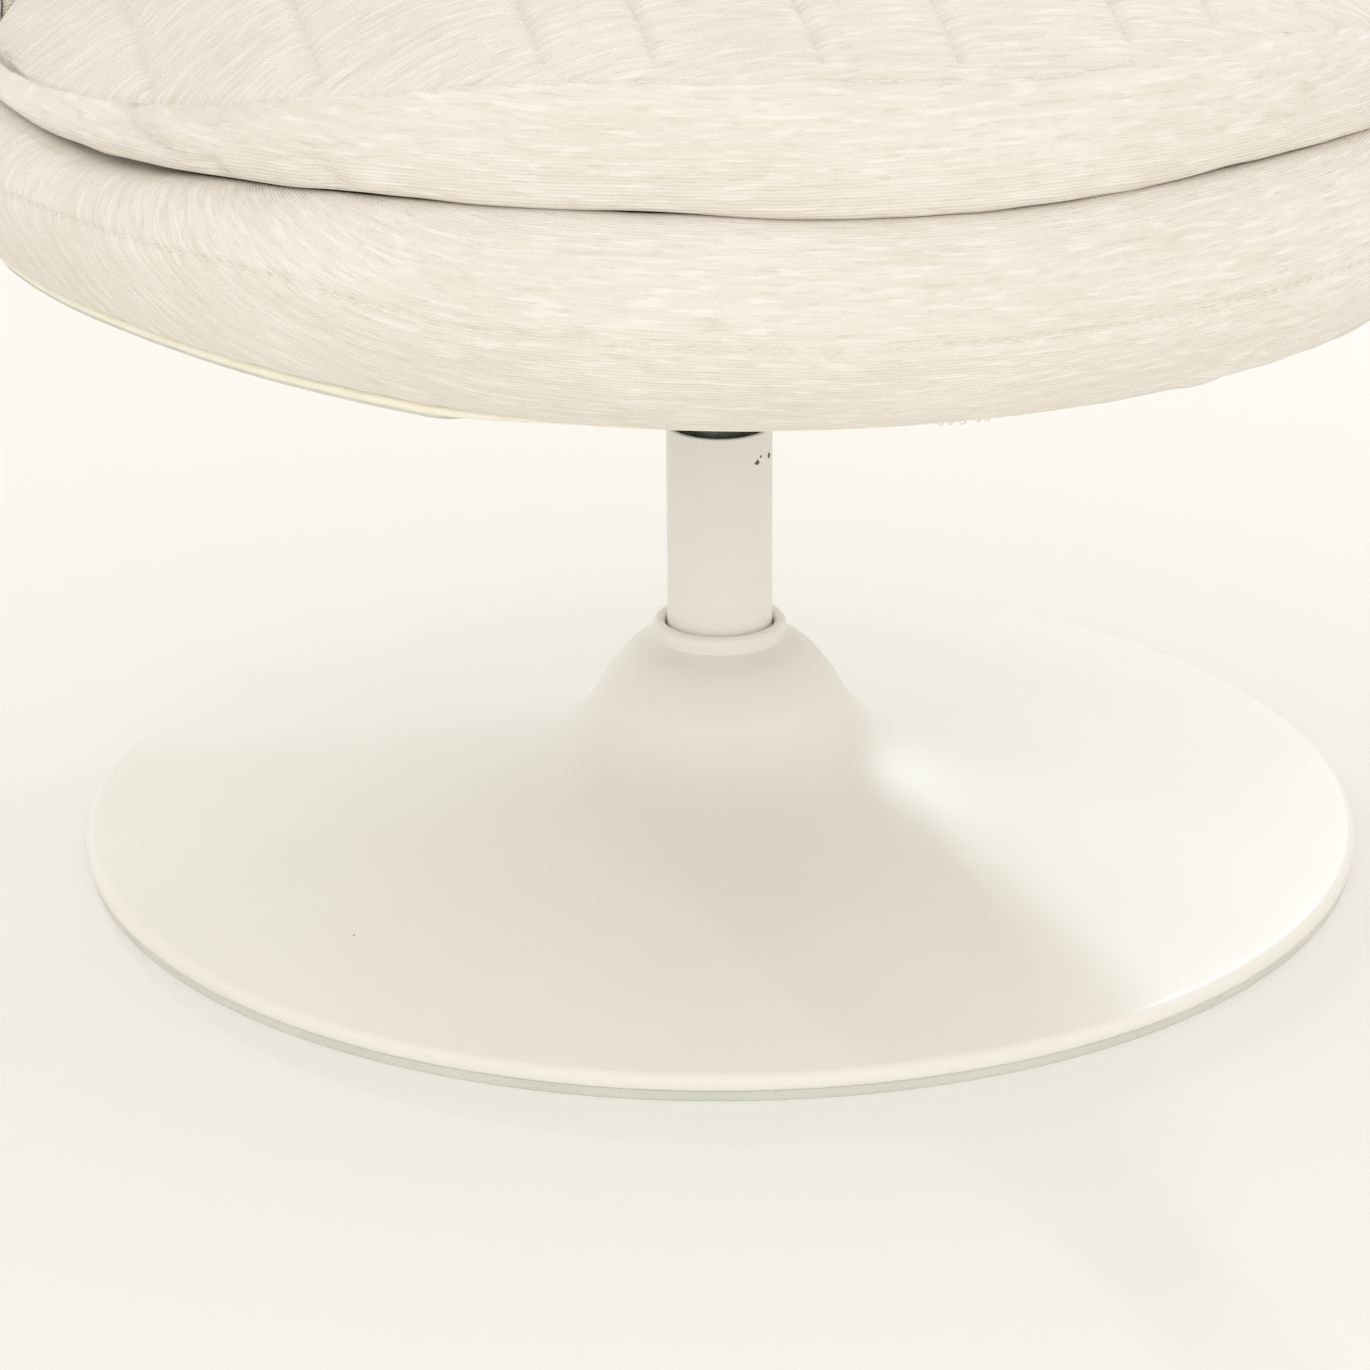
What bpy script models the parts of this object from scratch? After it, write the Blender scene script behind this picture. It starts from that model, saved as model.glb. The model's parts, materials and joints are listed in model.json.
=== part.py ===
"""Swivel tub armchair: a padded round shell with a loose channelled seat cushion,
turning on a column in a spun trumpet base. Metres, +Z up, front towards -Y,
origin on the floor under the swivel axis. Angles run from the front (0) to the back (180)."""

from math import atan2, cos, degrees, floor, hypot, pi, radians, sin, sqrt

import bmesh
import bpy
import numpy as np
from mathutils import Matrix, Vector

# Clearances
GAP = 0.0003
CUT_OVERRUN = 0.002
RUNNING_GAP = 0.0003
WELD_DISTANCE = 0.00003

# Spun trumpet
RIM_RADIUS = 0.3047
BASE_WALL = 0.0015
RIM_TOP_Z = 0.0125
RIM_SHOULDER = 0.0052
RIM_ROUNDING = 0.0022
LIP_WIDTH = 0.0147
NECK_RADIUS = 0.0312
NECK_Z = 0.0975
COLLAR_OUTER_RADIUS = 0.0318
COLLAR_INNER_RADIUS = 0.0259
COLLAR_TOP_Z = 0.1058
# Share of the run from neck to rim, share of the neck's height above the rim
FLARE_SHARES = ((0, 1), (0.043, 0.925), (0.086, 0.765), (0.115, 0.607), (0.152, 0.475), (0.212, 0.36),
                (0.305, 0.26), (0.444, 0.171), (0.63, 0.094), (0.817, 0.04), (1, 0))

# Glide ring under the rim
GLIDE_HEIGHT = 0.0047
GLIDE_WIDTH = 0.0195
GLIDE_INSET = 0.0012
GLIDE_CLIP_HEIGHT = 0.0013
GLIDE_CLIP_WIDTH = 0.0035

# Base plate and ballast
BASE_PLATE_THICKNESS = 0.003
BALLAST_INNER_RADIUS = 0.078
BALLAST_OUTER_RADIUS = 0.145
BALLAST_THICKNESS = 0.009

# Column
TUBE_RADIUS = 0.025
TUBE_WALL = 0.002
TUBE_TOP_Z = 0.202
FLANGE_RADIUS = 0.061
FLANGE_THICKNESS = 0.006

# Base fasteners: M6 countersunk screws and flange nuts
BASE_BOLT_CIRCLE = 0.045
BASE_BOLT_RADIUS = 0.003
BASE_BOLT_HEAD_RADIUS = 0.0056
BASE_BOLT_TIP = 0.0022
BASE_NUT_ACROSS = 0.010
BASE_NUT_HEIGHT = 0.005
BASE_NUT_SKIRT_RADIUS = 0.0071
BASE_NUT_SKIRT = 0.0012

# Swivel bearing inside the column
SPINDLE_RADIUS = 0.0125
THRUST_SEAT_Z = 0.044
THRUST_SEAT_THICKNESS = 0.006
THRUST_WASHER_THICKNESS = 0.004
THRUST_WASHER_RADIUS = 0.019
THRUST_WASHER_BORE = 0.006
RETAINER_OFFSET = 0.002
RETAINER_THICKNESS = 0.0014
RETAINER_RADIUS = 0.0158
RETAINER_OPENING = 60
RETAINER_GROOVE = 0.001
LOWER_BUSH_LENGTH = 0.024
UPPER_BUSH_LENGTH = 0.029
UPPER_BUSH_RECESS = 0.005

# Swivel plate and its hub
PLATE_RISE = 0.048
PLATE_CORNER = 0.018
PLATE_THICKNESS = 0.004
HUB_RADIUS = 0.020
HUB_LENGTH = 0.030
HUB_PIN_RADIUS = 0.003
HUB_PIN_DROP = 0.015
SPINDLE_CHAMFER = 0.001

# Seat fasteners: M8 flange bolts and tee nuts
SEAT_BOLT_SPACING = 0.160
PLATE_BOLT_MARGIN = 0.020
SEAT_BOLT_RADIUS = 0.004
SEAT_BOLT_ACROSS = 0.013
SEAT_BOLT_HEAD = 0.0053
SEAT_BOLT_SKIRT_RADIUS = 0.0088
SEAT_BOLT_SKIRT = 0.0012
SEAT_BOLT_LENGTH = 0.021
TEE_NUT_FLANGE_RADIUS = 0.011
TEE_NUT_FLANGE = 0.0015
TEE_NUT_BARREL_RADIUS = 0.0055
TEE_NUT_BARREL = 0.010

# Seat frame
BOARD_RADIUS = 0.165
BOARD_THICKNESS = 0.015
RIB_COUNT = 6
RIB_THICKNESS = 0.015
RIB_INNER_RADIUS = 0.060
RIB_INNER_HEIGHT = 0.028
RIB_SHELF = 0.070
RIB_FOOT = 0.007
RIB_HEM_RISE = 0.006
RIB_TIP = 0.006
HOOP_INNER_RADIUS = 0.327
HOOP_THICKNESS = 0.009
RING_WIDTH = 0.065
RING_THICKNESS = 0.018
RING_TOP_Z = 0.380
FRAME_START = 99

# Deck
STRAP_WIDTH = 0.060
STRAP_THICKNESS = 0.002
STRAP_PITCH = 0.130
STRAP_COUNT = 3
STRAP_INSET = 0.027
DECK_THICKNESS = 0.004

# Padded shell, measured out from the frame and up from the floor
SHELL_BOTTOM_Z = 0.310
SHELL_BOTTOM_RISE = 0.052
SHELL_BOTTOM_OVERHANG = 0.018
SHELL_BOTTOM_STEP = 0.0041
RIDGE_FRONT_Z = 0.3485
RIDGE_BACK_Z = 0.712
RIDGE_OVERHANG = 0.043
CREST_BACK_Z = 0.757
CREST_OVERHANG = 0.019
CREST_APEX = 0.012
CREST_ROLL_FRONT = 0.0012
CREST_ROLL_ARM = 0.007
CREST_LIP_DROP = 0.0015
PANEL_BULGE = 0.004
PANEL_ROW_SHARES = (0.33, 0.7)
FACET_ROW_SHARES = (0.35, 0.72)
SHELL_LIP_INSET = 0.005
FRAME_DROP_FRONT = 0.0088
FRAME_DROP_ARM = 0.030
SHELL_OVER_FRAME = 0.001
SHELL_SHOULDER = 0.0055
# Angle, share of the rise from the front to the back
SHELL_BOTTOM_SHARES = ((0, 0), (15, 0.01), (30, 0.06), (45, 0.18), (60, 0.29), (70, 0.325), (80, 0.37),
                       (100, 0.54), (125, 0.8), (150, 0.97), (180, 1))
RIDGE_SHARES = ((0, 0), (22, 0.011), (31, 0.0193), (36, 0.0316), (44, 0.055), (50, 0.0605), (60, 0.0688),
                (69, 0.0743), (75, 0.0784), (88, 0.0815), (95, 0.0855), (98, 0.093), (101, 0.1128),
                (105, 0.1719), (109.5, 0.2682), (113.5, 0.3689), (117.5, 0.4633), (122, 0.5409),
                (127, 0.6033), (134.5, 0.6817), (143.5, 0.8044), (156.5, 0.9263), (168.5, 0.9849), (180, 1))
CREST_SHARES = ((0, 0), (85, 0), (91, 0.003), (95, 0.010), (98, 0.024), (101, 0.054), (105, 0.125),
                (109.5, 0.235), (113.5, 0.345), (117.5, 0.445), (122, 0.53), (127, 0.597), (134.5, 0.68),
                (143.5, 0.804), (156.5, 0.927), (168.5, 0.985), (180, 1))
# Angle, share of the way from the low front lip to the full arm
ARM_SHARES = ((0, 0), (96, 0), (101, 0.1), (106, 0.5), (111, 0.85), (116, 1), (180, 1))

# Inner back pad
CHANNEL_PUFF = 0.65
PAD_START = 101
PAD_CHANNELS = 16
PAD_SIDE_THICKNESS = 0.036
PAD_LUMBAR = 0.065
PAD_CHANNEL_DEPTH = 0.007
PAD_ROLL = 0.010
PAD_ROLL_DROP = 0.008
PAD_EDGE_DROP = 0.004
PAD_SHOULDER = 0.0025
# Angle, share of the side thickness; then share of the lumbar swell
PAD_GROWTH_SHARES = ((0, 0.1), (101, 0.15), (105.5, 0.5), (110.5, 0.85), (116, 1), (180, 1))
PAD_LUMBAR_SHARES = ((0, 0), (100, 0), (110, 0.043), (125, 0.232), (140, 0.5), (160, 0.844), (180, 1))
PAD_ROW_SHARES = (0, 0.2, 0.45, 0.7, 0.9)

# Underside cloth and its welt
CLOTH_THICKNESS = 0.0015
CLOTH_HOLE_RADIUS = 0.019
CLOTH_EDGE_INSET = 0.0002
CLOTH_EDGE_RISE = 0.0032
WELT_RADIUS = 0.0022
WELT_OVERHANG = 0.0026
WELT_RISE = 0.0003

# Loose seat cushion
CUSHION_OVERHANG = 0.003
CUSHION_CROWN_Z = 0.484
CUSHION_REST = 0.0046
CUSHION_LIFT = 0.0095
CUSHION_BULGE_FRONT = 0.0145
CUSHION_BULGE_ARM = 0.005
CUSHION_SIDE_GAP = 0.004
CUSHION_CHANNEL_PITCH = 0.057
CUSHION_CHANNEL_DEPTH = 0.007
CUSHION_CHANNEL_REACH = 0.045
CUSHION_SEAM_HEIGHT = 0.0524
CUSHION_CROWN_POWER = 6
CUSHION_EDGE_INSET = 0.012
CUSHION_REST_SHARE = 0.85
# Angle, share of the front radius, of the seam's full height and of the lift over the shell's lip
CUSHION_PLAN_SHARES = ((0, 1), (89, 1), (93, 0.985), (96, 0.958), (98.5, 0.925), (101, 0.9), (105, 0.875),
                       (110, 0.857), (115, 0.852), (180, 0.852))
CUSHION_SEAM_SHARES = ((0, 1), (20, 1), (27, 0.972), (33, 0.885), (40, 0.767), (48, 0.62), (56, 0.46),
                       (65, 0.336), (75, 0.23), (96, 0.22), (108, 0.4), (120, 0.55), (180, 0.6))
CUSHION_LIFT_SHARES = ((0, 0), (8, 0.05), (20, 0.4), (33, 0.45), (50, 0.2), (60, 0), (68, 0.05), (75, 0.3),
                       (82, 0.6), (97, 0.6), (107, 0.3), (116, 0), (180, 0))
CUSHION_ROW_SHARES = (0, 0.035, 0.13, 0.29, 0.5, 0.71, 0.87, 0.965, 1)
CUSHION_SIDE_SHARES = ((0.62, 0.22), (1, 0.62), (0.8, 1.02))
CUSHION_END_SHARES = (0.4, 0.75, 0.97)
CHANNEL_STEPS = 4

# Foam core of the cushion and the zip in its rear band
CORE_COVER = 0.014
CORE_INSET_SHARE = 0.88
CORE_FLOOR = 0.0125
CORE_ROW_SHARES = (1, 0.8, 0.5)
ZIP_HALF_ANGLE = 30
ZIP_HEIGHT = 0.0034
ZIP_RISE = 0.0115
ZIP_DEPTH = 0.012
ZIP_SET_BACK = 0.001
ZIP_SLOT_DEPTH = 0.045

# Facets
BASE_STEPS = 48
TURNED_STEPS = 24
CORE_STEPS = 36
SHELL_STEPS = 72
WELT_SIDES = 5
BOLT_STEPS = 12
SMOOTH_ANGLE = 35

MATERIALS = {
    "powder_coat": ((0.80, 0.77, 0.70), 0.42, 0),
    "glide_plastic": ((0.70, 0.72, 0.66), 0.35, 0),
    "steel": ((0.42, 0.42, 0.42), 0.4, 1),
    "cast_iron": ((0.08, 0.08, 0.085), 0.7, 1),
    "nylon": ((0.02, 0.02, 0.02), 0.5, 0),
    "bronze": ((0.45, 0.29, 0.12), 0.35, 1),
    "plywood": ((0.62, 0.44, 0.26), 0.65, 0),
    "webbing": ((0.12, 0.11, 0.10), 0.85, 0),
    "felt": ((0.45, 0.44, 0.41), 0.95, 0),
    "chenille": ((0.84, 0.80, 0.73), 0.95, 0),
    "underside_cloth": ((0.60, 0.60, 0.55), 0.9, 0),
    "welt": ((0.87, 0.83, 0.67), 0.6, 0),
    "foam": ((0.80, 0.74, 0.55), 0.95, 0),
    "zip": ((0.75, 0.72, 0.65), 0.6, 0),
}

for old in list(bpy.data.objects):
    bpy.data.objects.remove(old, do_unlink=True)

# The swivel axis: everything that turns hangs from this empty
swivel = bpy.data.objects.new("swivel_axis", None)
bpy.context.collection.objects.link(swivel)


def material(name):
    """The named finish, made once."""
    found = bpy.data.materials.get(name)
    if found:
        return found
    color, roughness, metallic = MATERIALS[name]
    made = bpy.data.materials.new(name)
    made.use_nodes = True
    shader = made.node_tree.nodes["Principled BSDF"]
    shader.inputs["Base Color"].default_value = (*color, 1)
    shader.inputs["Roughness"].default_value = roughness
    shader.inputs["Metallic"].default_value = metallic
    return made


def add_object(name, bm, finish, turns=False, smooth=True):
    """An object from a bmesh, on the swivel axis if it turns with the seat."""
    bmesh.ops.remove_doubles(bm, verts=bm.verts, dist=WELD_DISTANCE)
    bmesh.ops.recalc_face_normals(bm, faces=bm.faces)
    if bm.calc_volume(signed=True) < 0:
        bmesh.ops.reverse_faces(bm, faces=bm.faces)
    mesh = bpy.data.meshes.new(name)
    bm.to_mesh(mesh)
    bm.free()
    if smooth:
        mesh.shade_smooth()
        mesh.set_sharp_from_angle(angle=radians(SMOOTH_ANGLE))
    mesh.materials.append(material(finish))
    obj = bpy.data.objects.new(name, mesh)
    bpy.context.collection.objects.link(obj)
    if turns:
        obj.parent = swivel
    return obj


def add_cutter(name, bm):
    """A guide solid for Boolean cuts, not part of the model."""
    obj = add_object(name, bm, "steel", smooth=False)
    obj.hide_render = True
    obj.display_type = "WIRE"
    return obj


def cut(obj, cutter):
    modifier = obj.modifiers.new("cut_" + cutter.name, "BOOLEAN")
    modifier.operation = "DIFFERENCE"
    modifier.solver = "EXACT"
    modifier.object = cutter


def polar(radius, angle, z):
    """A point at an angle in degrees from the chair's front."""
    return Vector((radius * sin(radians(angle)), -radius * cos(radians(angle)), z))


def smooth_share(shares, angle):
    """A smooth curve through hand-chosen (angle, share) pairs, level at both ends of the table."""
    xs = [pair[0] for pair in shares]
    ys = [pair[1] for pair in shares]
    if angle <= xs[0]:
        return ys[0]
    if angle >= xs[-1]:
        return ys[-1]
    i = max(k for k in range(len(xs) - 1) if xs[k] <= angle)
    span = xs[i + 1] - xs[i]
    rise = (ys[i + 1] - ys[i]) / span
    before = (ys[i] - ys[i - 1]) / (xs[i] - xs[i - 1]) if i else -rise
    after = (ys[i + 2] - ys[i + 1]) / (xs[i + 2] - xs[i + 1]) if i + 2 < len(xs) else -rise
    start = (before + rise) / 2 if before * rise > 0 else 0
    end = (rise + after) / 2 if rise * after > 0 else 0
    t = (angle - xs[i]) / span
    return (ys[i] * (2 * t**3 - 3 * t**2 + 1) + ys[i + 1] * (3 * t**2 - 2 * t**3)
            + span * (start * (t**3 - 2 * t**2 + t) + end * (t**3 - t**2)))


def lerp(a, b, t):
    return a + (b - a) * t


def loop_bmesh(loop_at, steps, start=0, end=360, centre=(0, 0)):
    """A closed (radius, z) loop carried round the vertical axis through centre.
    Short of a full turn its two ends are capped."""
    full = end - start >= 360
    bm = bmesh.new()
    shift = Vector((*centre, 0))
    rings = []
    for k in range(steps if full else steps + 1):
        angle = start + (end - start) * k / steps
        rings.append([bm.verts.new(polar(r, angle, z) + shift) for r, z in loop_at(angle)])
    pairs = list(zip(rings, rings[1:]))
    if full:
        pairs.append((rings[-1], rings[0]))
    for one, two in pairs:
        for i in range(len(one)):
            j = (i + 1) % len(one)
            bm.faces.new((one[i], one[j], two[j], two[i]))
    if not full:
        bm.faces.new(rings[0])
        bm.faces.new(rings[-1])
    return bm


def turned_bmesh(profile, steps, centre=(0, 0)):
    """A closed (radius, z) profile spun round the vertical axis through centre."""
    bm = bmesh.new()
    verts = [bm.verts.new(Vector((centre[0] + r, centre[1], z))) for r, z in profile]
    edges = [bm.edges.new((verts[i], verts[(i + 1) % len(verts)])) for i in range(len(verts))]
    bmesh.ops.spin(bm, geom=verts + edges, cent=(*centre, 0), axis=(0, 0, 1), angle=2 * pi, steps=steps,
                   use_merge=True)
    # A profile that touches the axis leaves collapsed faces there, which merging removes
    bmesh.ops.remove_doubles(bm, verts=bm.verts, dist=WELD_DISTANCE)
    bmesh.ops.dissolve_degenerate(bm, edges=bm.edges, dist=WELD_DISTANCE)
    loose = [edge for edge in bm.edges if not edge.link_faces]
    bmesh.ops.delete(bm, geom=loose, context="EDGES")
    return bm


def tube_profile(inner, outer, low, high):
    return [(inner, low), (outer, low), (outer, high), (inner, high)]


def rod_profile(radius, low, high):
    return [(0, low), (radius, low), (radius, high), (0, high)]


def add_turned(name, profile, finish, steps=TURNED_STEPS, turns=False, centre=(0, 0)):
    return add_object(name, turned_bmesh(profile, steps, centre), finish, turns)


def box_bmesh(low, high):
    bm = bmesh.new()
    bmesh.ops.create_cube(bm, size=1)
    size = Vector(high) - Vector(low)
    bmesh.ops.scale(bm, vec=size, verts=bm.verts)
    bmesh.ops.translate(bm, vec=(Vector(high) + Vector(low)) / 2, verts=bm.verts)
    return bm


def rods_bmesh(places, radius, low, high, steps=BOLT_STEPS):
    """Upright rods at several places in one bmesh, for cutting holes."""
    bm = bmesh.new()
    for x, y in places:
        made = bmesh.ops.create_cone(bm, cap_ends=True, segments=steps, radius1=radius, radius2=radius,
                                     depth=high - low)
        bmesh.ops.translate(bm, vec=(x, y, (low + high) / 2), verts=made["verts"])
    return bm


def hexagon_radius(across, angle):
    """Distance from a hexagon's centre to its side, at an angle in degrees."""
    return across / 2 / cos(radians((angle % 60) - 30))


# Heights that one piece takes from the next
lip_low_z = GLIDE_HEIGHT + GAP
base_plate_z = lip_low_z + BASE_WALL + GAP
base_plate_top_z = base_plate_z + BASE_PLATE_THICKNESS
flange_z = base_plate_top_z + GAP
flange_top_z = flange_z + FLANGE_THICKNESS
tube_bore = TUBE_RADIUS - TUBE_WALL
bush_radius = tube_bore - GAP
bush_bore = SPINDLE_RADIUS + RUNNING_GAP
washer_z = THRUST_SEAT_Z + THRUST_SEAT_THICKNESS + GAP
spindle_foot_z = washer_z + THRUST_WASHER_THICKNESS + GAP
retainer_z = spindle_foot_z + RETAINER_OFFSET
lower_bush_z = retainer_z + RETAINER_THICKNESS + GAP
plate_z = TUBE_TOP_Z + PLATE_RISE
plate_top_z = plate_z + PLATE_THICKNESS
plate_side = SEAT_BOLT_SPACING + 2 * PLATE_BOLT_MARGIN
cloth_z = plate_top_z + GAP
cloth_top_z = cloth_z + CLOTH_THICKNESS
board_z = cloth_top_z + GAP
board_top_z = board_z + BOARD_THICKNESS
hoop_outer_radius = HOOP_INNER_RADIUS + HOOP_THICKNESS
ring_outer_radius = HOOP_INNER_RADIUS - GAP
ring_inner_radius = ring_outer_radius - RING_WIDTH
ring_z = RING_TOP_Z - RING_THICKNESS
lower_strap_z = RING_TOP_Z + GAP
upper_strap_z = lower_strap_z + STRAP_THICKNESS + GAP
deck_z = upper_strap_z + STRAP_THICKNESS + GAP
deck_top_z = deck_z + DECK_THICKNESS
pad_z = deck_top_z + GAP
pad_outer_radius = HOOP_INNER_RADIUS - 3 * GAP
shell_inner_wall = hoop_outer_radius + 2 * GAP
shell_lip_radius = HOOP_INNER_RADIUS - SHELL_LIP_INSET
shell_bottom_radius = HOOP_INNER_RADIUS + SHELL_BOTTOM_OVERHANG
ridge_radius = HOOP_INNER_RADIUS + RIDGE_OVERHANG
crest_radius = HOOP_INNER_RADIUS + CREST_OVERHANG
cloth_edge_radius = hoop_outer_radius - CLOTH_EDGE_INSET
welt_ring_radius = hoop_outer_radius + WELT_OVERHANG
cushion_front_radius = HOOP_INNER_RADIUS + CUSHION_OVERHANG


def add_base_trumpet():
    """Spun steel flare: rolled collar at the top, rim rolled under the base plate."""
    run = RIM_RADIUS - RIM_SHOULDER - NECK_RADIUS
    fall = NECK_Z - RIM_TOP_Z
    flare = [(NECK_RADIUS + run * a, RIM_TOP_Z + fall * b) for a, b in FLARE_SHARES]
    inner = []
    for k, (r, z) in enumerate(flare):
        r0, z0 = flare[max(k - 1, 0)]
        r1, z1 = flare[min(k + 1, len(flare) - 1)]
        length = hypot(r1 - r0, z1 - z0)
        inner.append((r + (z1 - z0) / length * BASE_WALL, z - (r1 - r0) / length * BASE_WALL))
    collar_middle = (COLLAR_OUTER_RADIUS + COLLAR_INNER_RADIUS) / 2
    collar_z = (COLLAR_TOP_Z + NECK_Z) / 2
    collar = [(COLLAR_INNER_RADIUS, NECK_Z), (COLLAR_INNER_RADIUS, collar_z), (collar_middle, COLLAR_TOP_Z),
              (COLLAR_OUTER_RADIUS, collar_z)]
    rim = [(RIM_RADIUS, RIM_TOP_Z - RIM_SHOULDER + GAP), (RIM_RADIUS, lip_low_z + RIM_ROUNDING / 2),
           (RIM_RADIUS - RIM_ROUNDING, lip_low_z), (RIM_RADIUS - LIP_WIDTH, lip_low_z),
           (RIM_RADIUS - LIP_WIDTH, lip_low_z + BASE_WALL),
           (RIM_RADIUS - BASE_WALL, lip_low_z + BASE_WALL)]
    add_turned("base_trumpet", collar + flare + rim + inner[::-1], "powder_coat", BASE_STEPS)


def add_glide_ring():
    """Soft plastic strip under the rolled rim, clipped inside its lip: the part that meets the floor."""
    outer = RIM_RADIUS - GLIDE_INSET
    inner = outer - GLIDE_WIDTH
    clip_outer = RIM_RADIUS - LIP_WIDTH - GAP
    clip_top = GLIDE_HEIGHT + GAP + GLIDE_CLIP_HEIGHT
    profile = [(inner, 0), (outer, 0), (outer, GLIDE_HEIGHT), (clip_outer, GLIDE_HEIGHT),
               (clip_outer, clip_top), (clip_outer - GLIDE_CLIP_WIDTH, clip_top),
               (clip_outer - GLIDE_CLIP_WIDTH, GLIDE_HEIGHT), (inner, GLIDE_HEIGHT)]
    add_turned("glide_ring", profile, "glide_plastic", BASE_STEPS)


def base_bolt_places():
    return [tuple(polar(BASE_BOLT_CIRCLE, 45 + 90 * k, 0).xy) for k in range(4)]


def add_base_plate():
    """Steel disc that the rolled rim grips, with countersunk holes for the column's screws."""
    radius = RIM_RADIUS - BASE_WALL - RIM_ROUNDING - 2 * GAP
    plate = add_turned("base_plate", rod_profile(radius, base_plate_z, base_plate_top_z), "steel",
                       BASE_STEPS)
    bm = bmesh.new()
    sink = BASE_BOLT_HEAD_RADIUS + GAP
    for x, y in base_bolt_places():
        made = bmesh.ops.create_cone(bm, cap_ends=True, segments=BOLT_STEPS,
                                     radius1=sink + CUT_OVERRUN, radius2=BASE_BOLT_RADIUS + GAP,
                                     depth=BASE_PLATE_THICKNESS + CUT_OVERRUN)
        bmesh.ops.translate(bm, vec=(x, y, base_plate_z + (BASE_PLATE_THICKNESS - CUT_OVERRUN) / 2),
                            verts=made["verts"])
    cut(plate, add_cutter("countersinks", bm))
    cut(plate, add_cutter("base_plate_holes", rods_bmesh(base_bolt_places(), BASE_BOLT_RADIUS + GAP,
                                                         base_plate_z - CUT_OVERRUN,
                                                         base_plate_top_z + CUT_OVERRUN)))


def add_ballast_ring():
    add_turned("ballast_ring", tube_profile(BALLAST_INNER_RADIUS, BALLAST_OUTER_RADIUS, flange_z,
                                            flange_z + BALLAST_THICKNESS), "cast_iron")


def add_column():
    """Welded column: round tube standing on the base plate inside its bolted foot flange."""
    add_turned("column_tube", tube_profile(tube_bore, TUBE_RADIUS, flange_z, TUBE_TOP_Z), "powder_coat",
               BASE_STEPS)
    flange = add_turned("column_flange", tube_profile(TUBE_RADIUS + GAP, FLANGE_RADIUS, flange_z,
                                                      flange_top_z), "steel", BASE_STEPS)
    cut(flange, add_cutter("flange_holes", rods_bmesh(base_bolt_places(), BASE_BOLT_RADIUS + GAP,
                                                      flange_z - CUT_OVERRUN, flange_top_z + CUT_OVERRUN)))


def add_base_fasteners():
    """Countersunk screws up through plate and flange, each with a flange nut on top."""
    nut_z = flange_top_z + GAP
    nut_top = nut_z + BASE_NUT_SKIRT + BASE_NUT_HEIGHT
    bore = BASE_BOLT_RADIUS + GAP

    def nut_loop(angle):
        side = hexagon_radius(BASE_NUT_ACROSS, angle)
        skirt_top = nut_z + BASE_NUT_SKIRT
        return [(bore, nut_z), (BASE_NUT_SKIRT_RADIUS, nut_z), (BASE_NUT_SKIRT_RADIUS, skirt_top),
                (side, skirt_top), (side, nut_top), (bore, nut_top)]

    for k, place in enumerate(base_bolt_places()):
        head = BASE_BOLT_HEAD_RADIUS - GAP
        profile = [(0, base_plate_z), (head, base_plate_z), (BASE_BOLT_RADIUS, base_plate_top_z - GAP),
                   (BASE_BOLT_RADIUS, nut_top + BASE_BOLT_TIP), (0, nut_top + BASE_BOLT_TIP)]
        add_turned(f"base_bolt_{k + 1}", profile, "steel", BOLT_STEPS, centre=place)
        nut = loop_bmesh(nut_loop, BOLT_STEPS, centre=place)
        add_object(f"base_nut_{k + 1}", nut, "steel")


def add_bearing():
    """Thrust seat and washer low in the column, and a bush at each end of the spindle's run."""
    add_turned("thrust_seat", tube_profile(THRUST_WASHER_BORE, bush_radius, THRUST_SEAT_Z,
                                           THRUST_SEAT_Z + THRUST_SEAT_THICKNESS), "steel")
    add_turned("thrust_washer", tube_profile(THRUST_WASHER_BORE, THRUST_WASHER_RADIUS, washer_z,
                                             washer_z + THRUST_WASHER_THICKNESS), "bronze")
    add_turned("lower_bush", tube_profile(bush_bore, bush_radius, lower_bush_z,
                                          lower_bush_z + LOWER_BUSH_LENGTH), "nylon")
    top = TUBE_TOP_Z - UPPER_BUSH_RECESS
    add_turned("upper_bush", tube_profile(bush_bore, bush_radius, top - UPPER_BUSH_LENGTH, top), "nylon")


def pin_cutter():
    """A rod along X through the hub and the spindle, for the cross pin's hole."""
    bm = bmesh.new()
    made = bmesh.ops.create_cone(bm, cap_ends=True, segments=BOLT_STEPS, radius1=HUB_PIN_RADIUS + GAP,
                                 radius2=HUB_PIN_RADIUS + GAP, depth=2 * (HUB_RADIUS + CUT_OVERRUN))
    bmesh.ops.rotate(bm, verts=made["verts"], matrix=Matrix.Rotation(radians(90), 3, "Y"))
    bmesh.ops.translate(bm, vec=(0, 0, plate_z - HUB_PIN_DROP), verts=made["verts"])
    return add_cutter("pin_hole", bm)


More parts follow.
